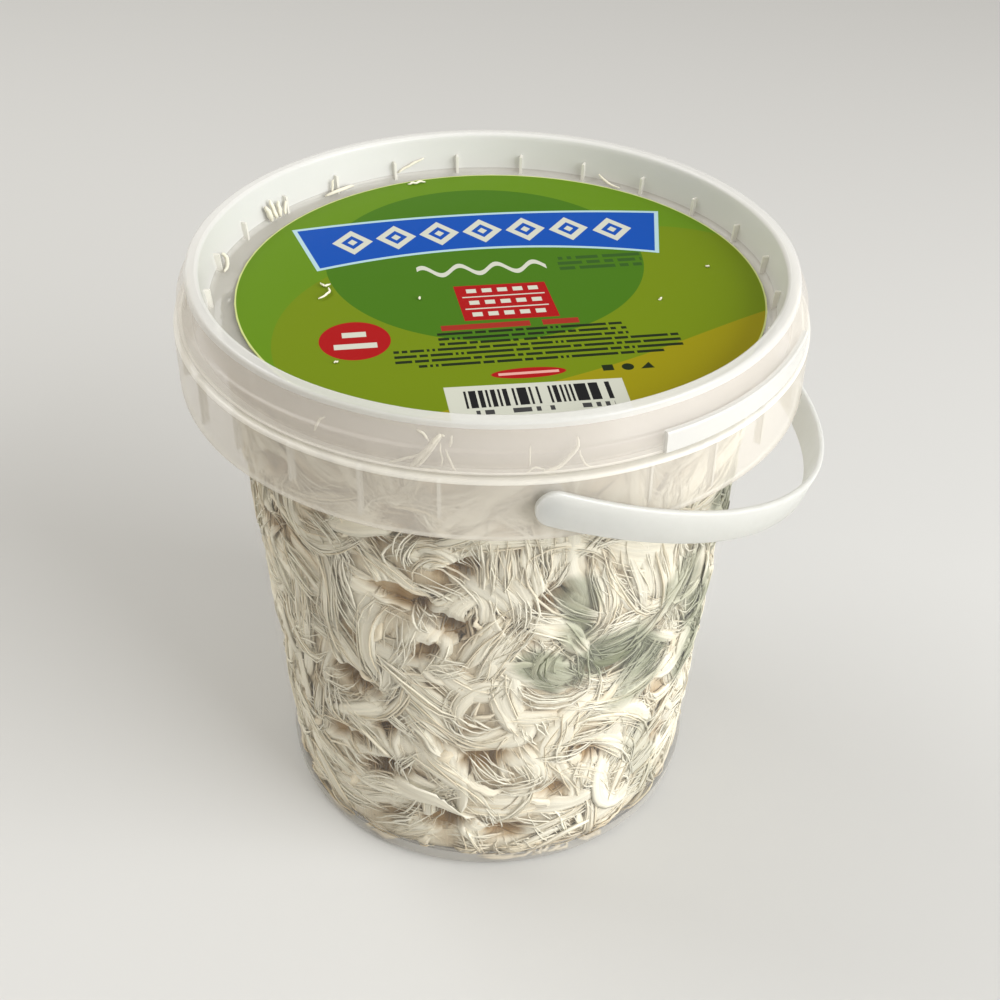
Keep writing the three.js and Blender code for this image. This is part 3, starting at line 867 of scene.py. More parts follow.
for *rows, color in DASHES:
    ink.lay(ink.dashes(*rows), color)
ink.lay(ink.ellipse(*ROUND_BADGE), RED)
for bar in ROUND_BADGE_BARS:
    ink.lay(ink.block(*bar), WHITE_INK)
ink.lay(ink.ellipse(*OVAL), RED)
ink.lay(ink.block(*OVAL_BAR), PINK)
ink.lay(ink.block(*SQUARE_MARK), DARK)
ink.lay(ink.ellipse(*ROUND_MARK), DARK)
ink.lay(ink.polygon(*THREE_SIDED_MARK), DARK)
ink.lay(ink.polygon(*STRIPED_BOX), WHITE_INK)
for *rows, color in STRIPES:
    ink.lay(ink.dashes(*rows), color)
film_field = ink.ellipse(*LABEL_MIDDLE, LABEL_R - LABEL_EDGE, LABEL_R - LABEL_EDGE)
ink.lay(ink.calc("SUBTRACT", 1, film_field), PALE_EDGE)
ink.links.new(ink.color, ink.shader.inputs["Base Color"])

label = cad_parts["label"]
label.data.materials.clear()
label.data.materials.append(film)
print("label shader:", len(film.node_tree.nodes), "nodes")

# %% [markdown]
# ## Shreds as mesh
#
# The cheese is pulled into locks, flat bundles 2 to 5 mm wide, and into broader mats, and each of
# them has a skin of very fine fibres. Hair or particles would be quick to grow, but a mesh keeps its
# true size everywhere. So a lock is a closed flat body with a ridge for each strand, and loose
# fibres are thin tapered tubes. Both are made for hundreds of locks at once with arrays. Each tube
# or body is a row of rings, and its faces follow from the numbers of the rings' points alone.

# %% Tubes from rings of points
rng = np.random.default_rng(2417)


def ring_faces(count, steps, sides):
    """Faces between neighbouring rings of many tubes, and the caps at both ends."""
    ring = np.arange(count * steps * sides).reshape(count, steps, sides)
    here, there = ring[:, :-1], ring[:, 1:]
    quads = np.stack([here, np.roll(here, -1, 2), np.roll(there, -1, 2), there], -1).reshape(-1, 4)
    middle = np.arange(1, sides - 1)
    caps = []
    for end in (ring[:, 0, ::-1], ring[:, -1]):
        corner = np.broadcast_to(end[:, :1], (count, len(middle)))
        caps.append(np.stack([corner, end[:, middle], end[:, middle + 1]], -1))
    return quads, np.concatenate(caps).reshape(-1, 3)


def along(lines):
    """Distance along each line."""
    steps = np.linalg.norm(np.diff(lines, axis=1), axis=2)
    return np.concatenate([np.zeros((len(lines), 1)), np.cumsum(steps, 1)], 1)


print("a tube of 2 rings of 3 points has", sum(len(faces) for faces in ring_faces(1, 2, 3)), "faces")

# %% [markdown]
# A fibre is a three-sided tube that tapers. Its ring is turned by a random angle, or all the fibres
# would catch the light alike. Every point also keeps two facts for the shader: its colour, and its
# grain, the distance along and across the strands in millimetres. A random start of the grain keeps
# neighbours from having the same streaks.

# %% Fibres
GRAIN_ALONG, GRAIN_ACROSS = 90, 900
LEVEL_SHARE, TINY = 0.15, 1e-9


def fibres(lines, widths, tones, sides=3):
    """Tapered tubes along many lines: lines (n, k, 3), widths (n, k), tones (n, k, 3)."""
    count, steps = lines.shape[:2]
    tangent = np.gradient(lines, axis=1)
    tangent /= np.linalg.norm(tangent, axis=2, keepdims=True) + TINY
    outward = lines * [1, 1, LEVEL_SHARE]
    outward /= np.linalg.norm(outward, axis=2, keepdims=True) + TINY
    side = np.cross(tangent, outward)
    side /= np.linalg.norm(side, axis=2, keepdims=True) + TINY
    top = np.cross(side, tangent)
    spin = rng.uniform(0, 2 * np.pi, (count, 1, 1))
    points = np.empty((count, steps, sides, 3))
    for k in range(sides):
        a = spin + 2 * np.pi * k / sides
        points[:, :, k] = lines + (np.cos(a) * side + np.sin(a) * top) * widths[:, :, None] / 2
    grain = np.stack([along(lines) + rng.uniform(0, GRAIN_ALONG, (count, 1)),
                      np.broadcast_to(rng.uniform(0, GRAIN_ACROSS, (count, 1)), (count, steps))], -1)
    per_point = [np.repeat(values[:, :, None, :], sides, 2).reshape(-1, values.shape[-1])
                 for values in (tones, grain)]
    return (points.reshape(-1, 3), *ring_faces(count, steps, sides), *per_point)


print("the grain of a fibre starts within", GRAIN_ALONG, "mm along and", GRAIN_ACROSS, "mm across")

# %% [markdown]
# Python lists would be slow for hundreds of thousands of faces, so the arrays go into the mesh in
# one piece each. The tone and the grain are kept as attributes on the points, where a shader can read them.

# %% Shreds as mesh


def shred_object(name, points, quads, triangles, tones, grain, material):
    """One mesh from big arrays, with a colour and a grain kept on every point."""
    mesh = bpy.data.meshes.new(name)
    mesh.vertices.add(len(points))
    mesh.vertices.foreach_set("co", (points * MM).astype(np.float32).ravel())
    corners = np.concatenate([quads.ravel(), triangles.ravel()])
    mesh.loops.add(len(corners))
    mesh.loops.foreach_set("vertex_index", corners.astype(np.int32))
    sizes = np.concatenate([np.full(len(quads), 4), np.full(len(triangles), 3)])
    mesh.polygons.add(len(sizes))
    mesh.polygons.foreach_set("loop_start", np.concatenate([[0], np.cumsum(sizes)[:-1]]).astype(np.int32))
    mesh.update(calc_edges=True)
    mesh.shade_smooth()
    kept = mesh.color_attributes.new("tone", "FLOAT_COLOR", "POINT")
    kept.data.foreach_set("color", np.column_stack([tones, np.ones(len(tones))]).astype(np.float32).ravel())
    kept = mesh.attributes.new("grain", "FLOAT_VECTOR", "POINT")
    kept.data.foreach_set("vector", np.column_stack([grain, np.zeros(len(grain))]).astype(np.float32).ravel())
    mesh.materials.append(material)
    thing = bpy.data.objects.new(name, mesh)
    scene.collection.objects.link(thing)
    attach(thing, "tub")
    print(name, "has", 2 * len(quads) + len(triangles), "triangles")
    return thing


print("each piece of cheese rides on the tub's body")

# %% [markdown]
# ## The cheese's finish
#
# Fresh cheese is matt to satin, and cream in the light. Its tan in the hollows is painted shade: the
# tone of each point is made with the shape, painted shade included, so the shader only reads that
# colour and combs it. A noise that is stretched along the grain gives fine streaks, which lighten and
# darken the colour a little. On the locks and the core they also raise a small bump, but single fibres are
# too thin to need one.

# %% The cheese's finish
CHEESE_IOR, CHEESE_COLOR = 1.42, (232, 222, 204)
GRAIN_STRETCH, STREAK_DETAIL, STREAK_LIGHT = (0.08, 1.3, 1), 2.0, 0.4
BUMP_STRENGTH = 0.8


def cheese_material(name, roughness, streak, height):
    """Reads the kept tone and streaks it; streak is a share, height is in millimetres."""
    material = new_material(name, CHEESE_COLOR, roughness, IOR=CHEESE_IOR)
    nodes, links = material.node_tree.nodes, material.node_tree.links
    shader = nodes["Principled BSDF"]
    tone = nodes.new("ShaderNodeVertexColor")
    tone.layer_name = "tone"
    grain = nodes.new("ShaderNodeAttribute")
    grain.attribute_name = "grain"
    stretch = nodes.new("ShaderNodeVectorMath")
    stretch.operation = "MULTIPLY"
    stretch.inputs[1].default_value = GRAIN_STRETCH
    streaks = nodes.new("ShaderNodeTexNoise")
    streaks.inputs["Scale"].default_value = 1.0
    streaks.inputs["Detail"].default_value = STREAK_DETAIL
    shade = spread_noise(material, streaks.outputs["Fac"], 1 - streak, 1 + streak * STREAK_LIGHT)
    mix = nodes.new("ShaderNodeVectorMath")
    mix.operation = "SCALE"
    links.new(grain.outputs["Vector"], stretch.inputs[0])
    links.new(stretch.outputs["Vector"], streaks.inputs["Vector"])
    links.new(tone.outputs["Color"], mix.inputs[0])
    links.new(shade, mix.inputs["Scale"])
    links.new(mix.outputs["Vector"], shader.inputs["Base Color"])
    if height:
        bump = nodes.new("ShaderNodeBump")
        bump.inputs["Strength"].default_value = BUMP_STRENGTH
        bump.inputs["Distance"].default_value = height * MM
        links.new(streaks.outputs["Fac"], bump.inputs["Height"])
        links.new(bump.outputs["Normal"], shader.inputs["Normal"])
    return material


lock_finish = cheese_material("cheese_locks", 0.50, 0.13, 0.22)
fibre_finish = cheese_material("cheese_fibres", 0.48, 0.03, 0.0)
core_finish = cheese_material("cheese_core", 0.60, 0.12, 0.25)
CREAM = np.array(linear(245, 240, 220)[:3])
WARM = np.array(linear(234, 222, 194)[:3])
# painted shade: tan and brown stand for the shade deep in the heap
SHADE_TAN = np.array(linear(212, 180, 124)[:3])
DEEP_SHADE_BROWN = np.array(linear(160, 126, 72)[:3])
MOULD = np.array(linear(190, 192, 166)[:3])
DARK_MOULD = np.array(linear(112, 117, 88)[:3])
print("cheese materials:", lock_finish.name, fibre_finish.name, core_finish.name)

# %% [markdown]
# ## Where the mould grows and where hollows stay open
#
# Blue cheese is veined: grey-green mould spreads in a few soft patches and follows the folds. Packed
# shreds also leave hollows, where light hardly reaches and the cheese looks tan. Both are given as
# soft spots on the wall, by the angle from the front ear and the height.

# %% Where the mould grows and where hollows stay open
# degrees, height, half width in degrees, half height, strength
MOULD_PATCHES = [
    (11, 78, 4, 6, 0.8), (10, 69, 5, 5, 0.9), (4, 62, 6, 4, 1.0), (9, 57, 7, 4, 0.9),
    (18, 59, 8, 6, 1.0), (29, 57, 9, 8, 1.0), (30, 47, 8, 5, 0.7), (42, 68, 8, 9, 0.75),
    (54, 52, 9, 13, 0.9), (58, 80, 10, 14, 0.85), (36, 24, 6, 10, 0.35), (42, 9, 8, 6, 0.35),
    (128, 52, 16, 10, 0.9), (150, 66, 12, 8, 0.7), (-118, 38, 15, 9, 0.9), (-140, 50, 9, 8, 0.6),
    (-96, 84, 9, 6, 0.5), (178, 96, 12, 6, 0.5), (95, 22, 12, 7, 0.5),
]
# degrees, height, radius in millimetres, depth
HOLLOWS = [
    (-28.5, 77.5, 3.2, 4), (-18.4, 71.9, 3.0, 4), (-23.9, 63.8, 2.0, 3.5), (-43.5, 49.3, 3.0, 4.5),
    (-37.7, 24.8, 3.4, 2.6), (-20.1, 12.7, 3.0, 3.2), (4.5, 79, 2.4, 3), (-26.6, 96.0, 3.0, 3.5),
    (-15.4, 86.5, 2.4, 2.6), (-44, 30.8, 2.2, 2.4), (-52, 30, 3, 1.5), (-10, 34, 4, 1.2),
    (-36, 38, 2.6, 1.2), (18, 32, 3, 0.9), (8, 22, 2.6, 0.9), (-5, 10, 3, 1.5), (33, 60, 2, 1.0),
    (-70, 78, 3, 2.6), (44, 24, 3, 1.2), (62, 64, 3, 1.6), (-84, 30, 3.5, 2.2), (-96, 60, 2.6, 3),
    (-112, 86, 3.4, 2.2), (-130, 24, 3.6, 1.6), (-150, 70, 3, 2.6), (-168, 40, 3.5, 3), (172, 78, 3, 1.8),
    (150, 30, 3.6, 2.4), (134, 84, 3, 2.6), (112, 40, 3.4, 1.8), (96, 74, 3, 2.6), (82, 46, 3.2, 2.8),
    (76, 96, 3, 2), (-62, 96, 3, 2.2), (-78, 52, 2.4, 2), (-104, 44, 2.4, 1.4), (-122, 64, 2.4, 2),
    (160, 56, 2.6, 1.6),
]
print("mould patches:", len(MOULD_PATCHES), "hollows:", len(HOLLOWS))

# %% [markdown]
# A spot fades from its middle, and a ripple of a few sine waves frays its edge. Mould stays near the
# wall. A hollow is a slit that lies its own way, longer than it is high, and everywhere else the
# shreds stand back by a gentle swell of a few tenths of a millimetre.

# %% How mouldy, and how hollow
WALL_ROUND = 49
MOULD_REACH, MOULD_FROM, MOULD_FADE = 1.55, 30, 10
SLIT_LONG, SLIT_HIGH, SLIT_SHARE, SLIT_EDGE = 1.45, 0.68, 2.1, 1.4


def away_from(angle, degrees):
    """Angle in radians from a place given in degrees, the short way round."""
    return (angle - math.radians(degrees) + math.pi) % (2 * math.pi) - math.pi


def mouldiness(x, y, z):
    """From 0 for clean cheese to 1 for the middle of a strong patch."""
    angle = np.arctan2(x, -y)
    much = np.zeros_like(angle)
    ripple = (0.35 * np.sin(x / 3.1 + z / 4.3) + 0.35 * np.sin(y / 2.7 - z / 3.1 + 1)
              + 0.2 * np.sin(z / 1.3 + x))
    for degrees, height, wide, high, strength in MOULD_PATCHES:
        reach = (away_from(angle, degrees) / math.radians(wide)) ** 2 + ((z - height) / high) ** 2
        much = np.maximum(much, strength * np.clip(MOULD_REACH - reach + ripple, 0, 1))
    return much * np.clip((np.hypot(x, y) - MOULD_FROM) / MOULD_FADE, 0, 1)


def hollow(angle, z):
    """How far the shreds stand back from the wall."""
    back = 0.12 + 0.22 * np.sin(5 * angle + z / 6.0) * np.sin(z / 4.6 - 3 * angle + 1)
    back = back + 0.12 * np.sin(13 * angle - z / 3.2)
    ragged = 1 + 0.30 * np.sin(31 * angle + z / 1.7) * np.sin(z / 1.2 - 23 * angle)
    for degrees, height, radius, depth in HOLLOWS:
        across, up = away_from(angle, degrees) * WALL_ROUND, z - height
        lie = 0.7 * math.sin(3.1 * degrees)
        a = across * math.cos(lie) + up * math.sin(lie)
        b = up * math.cos(lie) - across * math.sin(lie)
        share = ((a / SLIT_LONG) ** 2 + (b / SLIT_HIGH) ** 2) / radius ** 2
        back = back + SLIT_SHARE * depth * np.exp(-(share * ragged) ** SLIT_EDGE)
    return np.maximum(back, 0)


deepest = max(float(hollow(np.radians(degrees), height)) for degrees, height, *size in HOLLOWS)
print("the deepest hollow stands back", round(deepest, 1), "mm")

# %% [markdown]
# ## Laying out a lock
#
# The middle line of a lock is drawn on the unrolled wall, in degrees round and millimetres up. Most
# lines walk along one smooth field of directions, so that neighbours lie together as combed wool
# does. Depth is measured inwards from the wall. What would push through the wall is pressed flat
# against it, and reaches just into it, so that no air shows between the cheese and the plastic.

# %% Places on the wall
CHEESE_LOW, CHEESE_TOP = 1.35, 112.6
INTO_WALL, PRESS_SOFT = 0.55, 0.22
FLOOR_ROUND = 2.3
STRAIGHT_LOW, STRAIGHT_TOP = 3, 110


def room_at(z):
    """How far out the cheese reaches at a height, following the rounded corner of the floor."""
    drop = np.clip((BASE_THICK + FLOOR_ROUND - np.asarray(z, float)) / FLOOR_ROUND, 0, 1)
    return wall_inside(z) - FLOOR_ROUND * (1 - np.sqrt(1 - drop ** 2))


def turn_room(z):
    """The radius by which millimetres round the wall are turned into an angle."""
    return room_at(np.clip(z, STRAIGHT_LOW, STRAIGHT_TOP))


def on_wall(angle, z, depth):
    """Points inside the tub: angle in radians from the front ear, height and depth in millimetres."""
    z = CHEESE_LOW + PRESS_SOFT * np.logaddexp(0, (z - CHEESE_LOW) / PRESS_SOFT)
    z = CHEESE_TOP - PRESS_SOFT * np.logaddexp(0, (CHEESE_TOP - z) / PRESS_SOFT)
    pressed = PRESS_SOFT * np.logaddexp(0, (depth + INTO_WALL) / PRESS_SOFT) - INTO_WALL
    r = room_at(z) - pressed
    return np.stack([r * np.sin(angle), -r * np.cos(angle), z], -1)


print("room for the cheese halfway up:", round(float(room_at(55)), 1), "mm from the axis")

# %% [markdown]
# The field of directions is a sum of sine waves round and up the wall. A walk takes a step the way
# it is heading, then turns a little towards the field there, and goes both ways from its start.

# %% Walking along the flow
FOLLOW_STEP = 12


def flow(angle, z):
    """The way the shreds lie on the wall, as a smooth field of directions."""
    return (0.75 + 1.25 * np.sin(2 * angle + z / 17 + 0.5) + 0.9 * np.sin(3 * angle - z / 21 + 2.1)
            + 0.6 * np.sin(7 * angle + z / 9.5) + 0.5 * np.sin(11 * angle - z / 6.1 + 0.7))


def walked_lines(angle, z, length, bend, follow, steps, stray=0.35):
    """Walks along the flow both ways from each start, turning by bend per millimetre."""
    start = flow(angle, z) + rng.normal(0, stray, len(angle))
    lines = np.zeros((len(angle), steps, 3))
    half = steps // 2
    for direction in (1, -1):
        a, h, heading = angle.copy(), z.copy(), start.copy()
        for k in range(half, steps) if direction == 1 else range(half, -1, -1):
            lines[:, k] = np.stack([a, h, heading], 1)
            step = direction * length / (steps - 1)
            a = a + step * np.cos(heading) / turn_room(h)
            h = h + step * np.sin(heading)
            pull = direction * follow * np.sin(flow(a, h) - heading) * np.abs(step) / FOLLOW_STEP
            heading = heading + bend * step + pull
    return lines


def spread_starts(count, low=3, high=111):
    """Starts spread evenly over the wall by the golden angle, a little shaken."""
    k = np.arange(count)
    angle = k * math.pi * (3 - math.sqrt(5)) + rng.normal(0, 0.05, count)
    height = low + (high - low) * ((k + 0.5) / count) + rng.normal(0, 1.5, count)
    order = rng.permutation(count)
    return angle[order] % (2 * math.pi), height[order]


def wavering(shape, steps, waves):
    """Smooth random wandering along each line, as a sum of a few waves (length in turns, size)."""
    t = np.linspace(0, 2 * np.pi, steps)
    return sum(rng.normal(0, size, shape + (1,)) * np.sin(turns * t + rng.uniform(0, 6.3, shape + (1,)))
               for turns, size in waves)


print("flow at the front:", round(math.degrees(float(flow(np.array(0.0), np.array(60.0)))), 1), "degrees")

# %% [markdown]
# A point takes the tone of its own lock. The deeper it lies, the more painted shade it gets, tan and then
# brown, which stands for the little light that reaches there, and mould tints it last. The lowest few
# millimetres get a little painted shade too, where the floor shades them.

# %% The tone of each point
SHADE_FROM_DEPTH, SHADE_OVER_DEPTH = 0.4, 2.0
FLOOR_SHADE_SHARE, FLOOR_SHADE_TOP, FLOOR_SHADE_OVER = 0.35, 1.3, 6
TOP_ROOM, LOW_ROOM = 1.5, 1


def tone_with_shade_at(points, base, shade):
    """Colour of points: their own tone, painted shade in tan where they lie deep, tinted by mould."""
    x, y, z = points[..., 0], points[..., 1], points[..., 2]
    from_ends = np.minimum(CHEESE_TOP + TOP_ROOM - z, z - CHEESE_LOW + LOW_ROOM)
    depth = np.minimum(room_at(z) - np.hypot(x, y), from_ends)
    # painted shade: the deeper a point lies, the more it is coloured tan and then brown
    deep = np.clip((depth - SHADE_FROM_DEPTH) / SHADE_OVER_DEPTH, 0, 1)[..., None]
    # painted shade: the lowest few millimetres are darkened, where the floor shades them
    floor_shade = FLOOR_SHADE_SHARE * np.clip(FLOOR_SHADE_TOP - z / FLOOR_SHADE_OVER, 0, 1)[..., None]
    deep = np.maximum(deep * deep * (3 - 2 * deep), floor_shade)
    much = mouldiness(x, y, z)[..., None]
    color = base * (1 - deep) + (SHADE_TAN + (DEEP_SHADE_BROWN - SHADE_TAN) * deep) * deep
    # the mould is darkened by the same painted shade of depth
    mould = MOULD + (DARK_MOULD - MOULD) * np.clip(shade + 0.5 * deep, 0, 1)
    return np.clip(color * (1 - much) + mould * much, 0, 1)


def tones(points, first, second, spread=0.05):
    """Each line takes a tone between two colours."""
    shape = points.shape[:1] + (1,) * (points.ndim - 1)
    share, light, shade = rng.random(shape), 1 + rng.normal(0, spread, shape), rng.random(shape)
    return tone_with_shade_at(points, (first + (second - first) * share) * light, shade)


print("cheese turns tan from", SHADE_FROM_DEPTH, "to", SHADE_FROM_DEPTH + SHADE_OVER_DEPTH, "mm behind the wall")

# %% [markdown]
# ## Locks and their loose fibres
#
# A lock's section is a dome with a ridge for each strand and a flat back. The ridges wander a
# little, the lock narrows to its ends, dives into the heap there, and may twist. The valleys between
# the ridges get painted shade, a little darker and warmer, where shade falls between the strands.

# %% Bodies of locks
DOME_POWER, DOME_HIGH, BACK_WIDE, BACK_DEEP = 2.8, 0.8, 0.6, 0.5
END_SHARE, DIVE_POWER = 0.03, 2.5
VALLEY_SHADE, VALLEY_SHADE_TINT = 0.11, [0.8, 1.0, 1.3]


def lock_bodies(lines, width, depth, thick, strands, first, second, ridge=0.09, blunt=1.9):
    """Closed bodies for many locks at once: lines (n, k, 3), the rest one value for each lock."""
    count, steps = lines.shape[:2]
    t = np.linspace(-1, 1, steps)
    across = np.concatenate([np.linspace(-1, 1, strands), [BACK_WIDE, -BACK_WIDE]])
    dome = np.concatenate([1 - np.abs(np.linspace(-1, 1, strands)) ** DOME_POWER, [-BACK_DEEP, -BACK_DEEP]])
    across, dome = across[None, None, :], dome[None, None, :]
    taper = np.clip(1 - np.abs(t) ** blunt, 0.0, 1) * (1 - END_SHARE) + END_SHARE
    swell = 1 + wavering((count,), steps, ((0.5, 0.18), (1.3, 0.10), (2.6, 0.07)))
    reach = (width[:, None] / 2 * taper * swell)[..., None]
    ridges = rng.normal(0, ridge, (count, 1, strands + 2))
    wander = wavering((count, strands + 2), steps, ((0.7, ridge * 0.5), (1.7, ridge * 0.4)))
    ridges = ridges + wander.transpose(0, 2, 1)
    ridges[..., ::2] += ridge * 0.6
    out = (thick[:, None] * taper)[..., None] * dome * DOME_HIGH
    out = out + ridges * np.sqrt(taper)[None, :, None] * (dome > 0)
    twist = (rng.normal(0, 0.5, (count, 1)) * t + rng.normal(0, 0.25, (count, 1)))[..., None]
    side = across * reach * np.cos(twist) - out * np.sin(twist) * 0.6
    side = side + wavering((count,), steps, ((1.1, 0.35), (2.3, 0.18)))[..., None]
    out = out * np.cos(twist) + across * reach * np.sin(twist) * 0.7
    dive = rng.uniform(0.2, 2.6, (count, 1)) * np.clip(t, 0, 1) ** DIVE_POWER
    dive = dive + rng.uniform(0.2, 2.6, (count, 1)) * np.clip(-t, 0, 1) ** DIVE_POWER
    heading = lines[:, :, 2:3]
    z = lines[:, :, 1:2] + side * np.cos(heading)
    angle = lines[:, :, 0:1] - side * np.sin(heading) / turn_room(z)
    inward = depth[:, None, None] + thick[:, None, None] + dive[..., None] - out + hollow(angle, z)
    points = on_wall(angle, z, inward)
    # painted shade: the valleys between the ridges are darkened and warmed
    valley_shade = np.clip(0.5 - ridges / ridge * 0.5, 0, 1)[..., None]
    color = tones(points, first, second) * (1 - VALLEY_SHADE * valley_shade * VALLEY_SHADE_TINT)
    run = along(points[:, :, strands // 2]) + rng.uniform(0, GRAIN_ALONG, (count, 1))
    beside = across * width[:, None, None] / 2 + rng.uniform(0, GRAIN_ACROSS, (count, 1, 1))
    grain = np.stack(np.broadcast_arrays(run[..., None], beside), -1)
    faces = ring_faces(count, steps, strands + 2)
    return (points.reshape(-1, 3), *faces, color.reshape(-1, 3), grain.reshape(-1, 2))


print("a lock's section is a dome, flattest for a high power:", DOME_POWER)

# %% [markdown]
# Fibres lie on the same middle lines but stand off a bit, lie past the edges and wave more. Some end
# early. That is what makes the edge of a lock look torn rather than cut.

# %% The locks' loose fibres
ENDING_EARLY, EARLY_SHARE = 0.6, 0.4
WIDTH_SPREAD = 0.35


def lock_fibres(lines, width, depth, thick, per_lock, fibre_width, first, second,
                spread=1.15, shake=1.0, bridge=1.0):
    """Thin fibres that run with the locks; bridge below 1 lets them span the hollows."""
    locks, steps = lines.shape[:2]
    shape = (locks, per_lock)
    t = np.linspace(-1, 1, steps)
    across = rng.uniform(-spread, spread, shape + (1,))
    gather = 0.35 + 0.65 * np.sqrt(np.clip(1 - (t * 0.95) ** 2, 0, 1))
    waver = wavering(shape, steps, ((0.5, 0.5 * shake), (1.2, 0.3 * shake), (2.7, 0.12 * shake)))
    side = across * gather * width[:, None, None] / 2 + waver
    dome = np.sqrt(np.clip(1 - np.minimum(np.abs(across), 1) ** 2, 0, 1))
    inward = depth[:, None, None] + thick[:, None, None] * (1 - 0.8 * dome) - 0.05
    inward = inward + 0.35 * wavering(shape, steps, ((0.6, 0.5), (1.5, 0.4)))
    inward = inward + 1.2 * np.abs(t) ** 3 * rng.uniform(0, 2, shape + (1,))
    heading = lines[:, None, :, 2]
    z = lines[:, None, :, 1] + side * np.cos(heading)
    angle = lines[:, None, :, 0] - side * np.sin(heading) / turn_room(z)
    points = on_wall(angle, z, inward + hollow(angle, z) * bridge).reshape(locks * per_lock, steps, 3)
    widths = fibre_width * rng.lognormal(0, WIDTH_SPREAD, (locks * per_lock, 1))
    widths = widths * np.clip(1.1 - np.abs(t) ** 4, 0.2, 1)
    points = trimmed(points)
    return fibres(points, widths, tones(points, first, second))


def trimmed(points):
    """Ends some fibres early by sliding their points back along the line."""
    count, steps = points.shape[:2]
    t = np.linspace(0, 1, steps)
    start = rng.uniform(0, EARLY_SHARE, (count, 1)) * (rng.random((count, 1)) < ENDING_EARLY)
    end = 1 - rng.uniform(0, EARLY_SHARE, (count, 1)) * (rng.random((count, 1)) < ENDING_EARLY)
    where = (start + (end - start) * t) * (steps - 1)
    low = np.clip(where.astype(int), 0, steps - 2)
    mix = (where - low)[..., None]
    rows = np.arange(count)[:, None]
    return points[rows, low] * (1 - mix) + points[rows, low + 1] * mix


print("at each end,", round(ENDING_EARLY * 100), "% of the fibres stop early")

# %% [markdown]
# ## Locks in the hollows, and mats
#
# A few locks line each hollow, where they show behind the stray fibres. Everywhere else the wall is
# covered with mats: broad, thin layers of combed shreds that lie within a millimetre of the wall. A
# mat is a lock with blunt ends, and its loose fibres are a little thicker than those on top of it.

# %% Locks in the hollows, and mats
PER_HOLLOW, MATS = 4, 210
DEEP = PER_HOLLOW * len(HOLLOWS)
MAT_BLUNT, MAT_STEPS = 3.5, 17

near = np.repeat(np.array(HOLLOWS)[:, :2], PER_HOLLOW, 0) + rng.normal(0, 3.5, (DEEP, 2))
angle, height = np.radians(near[:, 0]), near[:, 1]
lines = walked_lines(angle, height, rng.uniform(9, 18, DEEP), rng.normal(0, 0.08, DEEP), 0.4, 11, stray=0.8)
width, depth, thick = rng.uniform(2.5, 6, DEEP), rng.uniform(0.5, 3.0, DEEP), rng.uniform(1.0, 2.0, DEEP)
locks = lock_bodies(lines, width, depth, thick, 9, WARM, CREAM, 0.08)
shred_object("locks_deep", *locks, lock_finish)

angle, height = spread_starts(MATS)
lines = walked_lines(angle, height, rng.uniform(18, 40, MATS), rng.normal(0, 0.05, MATS), 0.9,
                     MAT_STEPS, stray=0.25)
width, depth, thick = rng.uniform(7, 12, MATS), rng.uniform(-0.1, 0.3, MATS), rng.uniform(1.1, 1.5, MATS)
mats = lock_bodies(lines, width, depth, thick, 13, CREAM, CREAM * 0.95, 0.10, MAT_BLUNT)
shred_object("mats", *mats, lock_finish)
loose = lock_fibres(lines[:, ::2], width, depth + 0.2, thick * 0.5, 8, 0.36, CREAM, WARM)
shred_object("fibres_mats", *loose, fibre_finish)

# %% [markdown]
# ## Pressed locks
#
# The last layer touches the plastic. Where a lock presses against the wall it looks smooth and pale.
# A few of these locks are laid one by one to give the front its main forms: a curl near the collar, a
# fall of straight strands beside it, and the sweep of the mouldy band. Their paths are short lists
# of places on the wall, which a smooth curve then joins.

# %% Locks laid one by one
# width, then degrees and height of the path's points
LAID_LOCKS = [
    (3.4, (-26.5, 84), (-24.5, 89.5), (-19.5, 91.8), (-14.8, 89), (-13.5, 83.5), (-16.5, 79)),
    (2.6, (-24, 82), (-23, 86.5), (-19.8, 88.8), (-16.8, 86.5), (-16.6, 83)),
    (3.0, (-28, 80), (-24.5, 77), (-20, 77.2), (-15.5, 80.5)),
    (3.2, (-10.5, 95.5), (-9.6, 88), (-9.8, 81)), (3.0, (-6.0, 95), (-5.4, 88), (-6.2, 80.5)),
    (3.4, (-1.2, 95), (-0.6, 88), (0.4, 81)), (3.0, (4.2, 94.5), (4.4, 88), (2.6, 82)),
    (4.6, (-12, 54), (-8.5, 62), (-4, 69), (0.5, 75)), (4.2, (-16, 60), (-12, 66), (-7, 72), (-2, 78)),
    (5.2, (22, 92), (24.5, 82), (29, 72), (28, 61)), (4.6, (29, 90), (32, 80), (35, 71), (33, 62)),
    (3.6, (13, 90), (14.5, 83), (17.5, 76), (17, 69), (11, 64.5)),
    (3.4, (9, 66), (4.5, 64), (3.0, 59.5), (7.5, 55)),
    (4.4, (8, 57.5), (15, 53), (24, 50.5), (34, 53), (43, 60)),
    (3.8, (12, 50), (22, 46.5), (33, 47), (44, 52)),
    (4.6, (24, 58), (33, 62), (42, 70), (50, 80)), (5.0, (12, 43), (22, 42), (33, 36), (40, 26)),
    (4.6, (10, 34), (20, 34), (29, 28), (34, 18)), (4.2, (8, 26), (16, 26), (23, 20), (26, 11)),
    (4.8, (-58, 36), (-50, 33), (-42, 27), (-38, 16)), (4.4, (-52, 40), (-43, 37), (-35, 30), (-31, 19)),
    (4.2, (-30, 34), (-22, 30), (-14, 24), (-8, 16)), (4.6, (-62, 76), (-58, 66), (-60, 55), (-56, 45)),
    (4.0, (-52, 84), (-47, 75), (-48, 64), (-44, 54)), (4.4, (-38, 60), (-30, 56), (-22, 50), (-13, 47)),
    (4.0, (-34, 50), (-26, 47), (-18, 41), (-9, 38)), (3.6, (-40, 90), (-34, 84), (-32, 78), (-36, 70)),
]


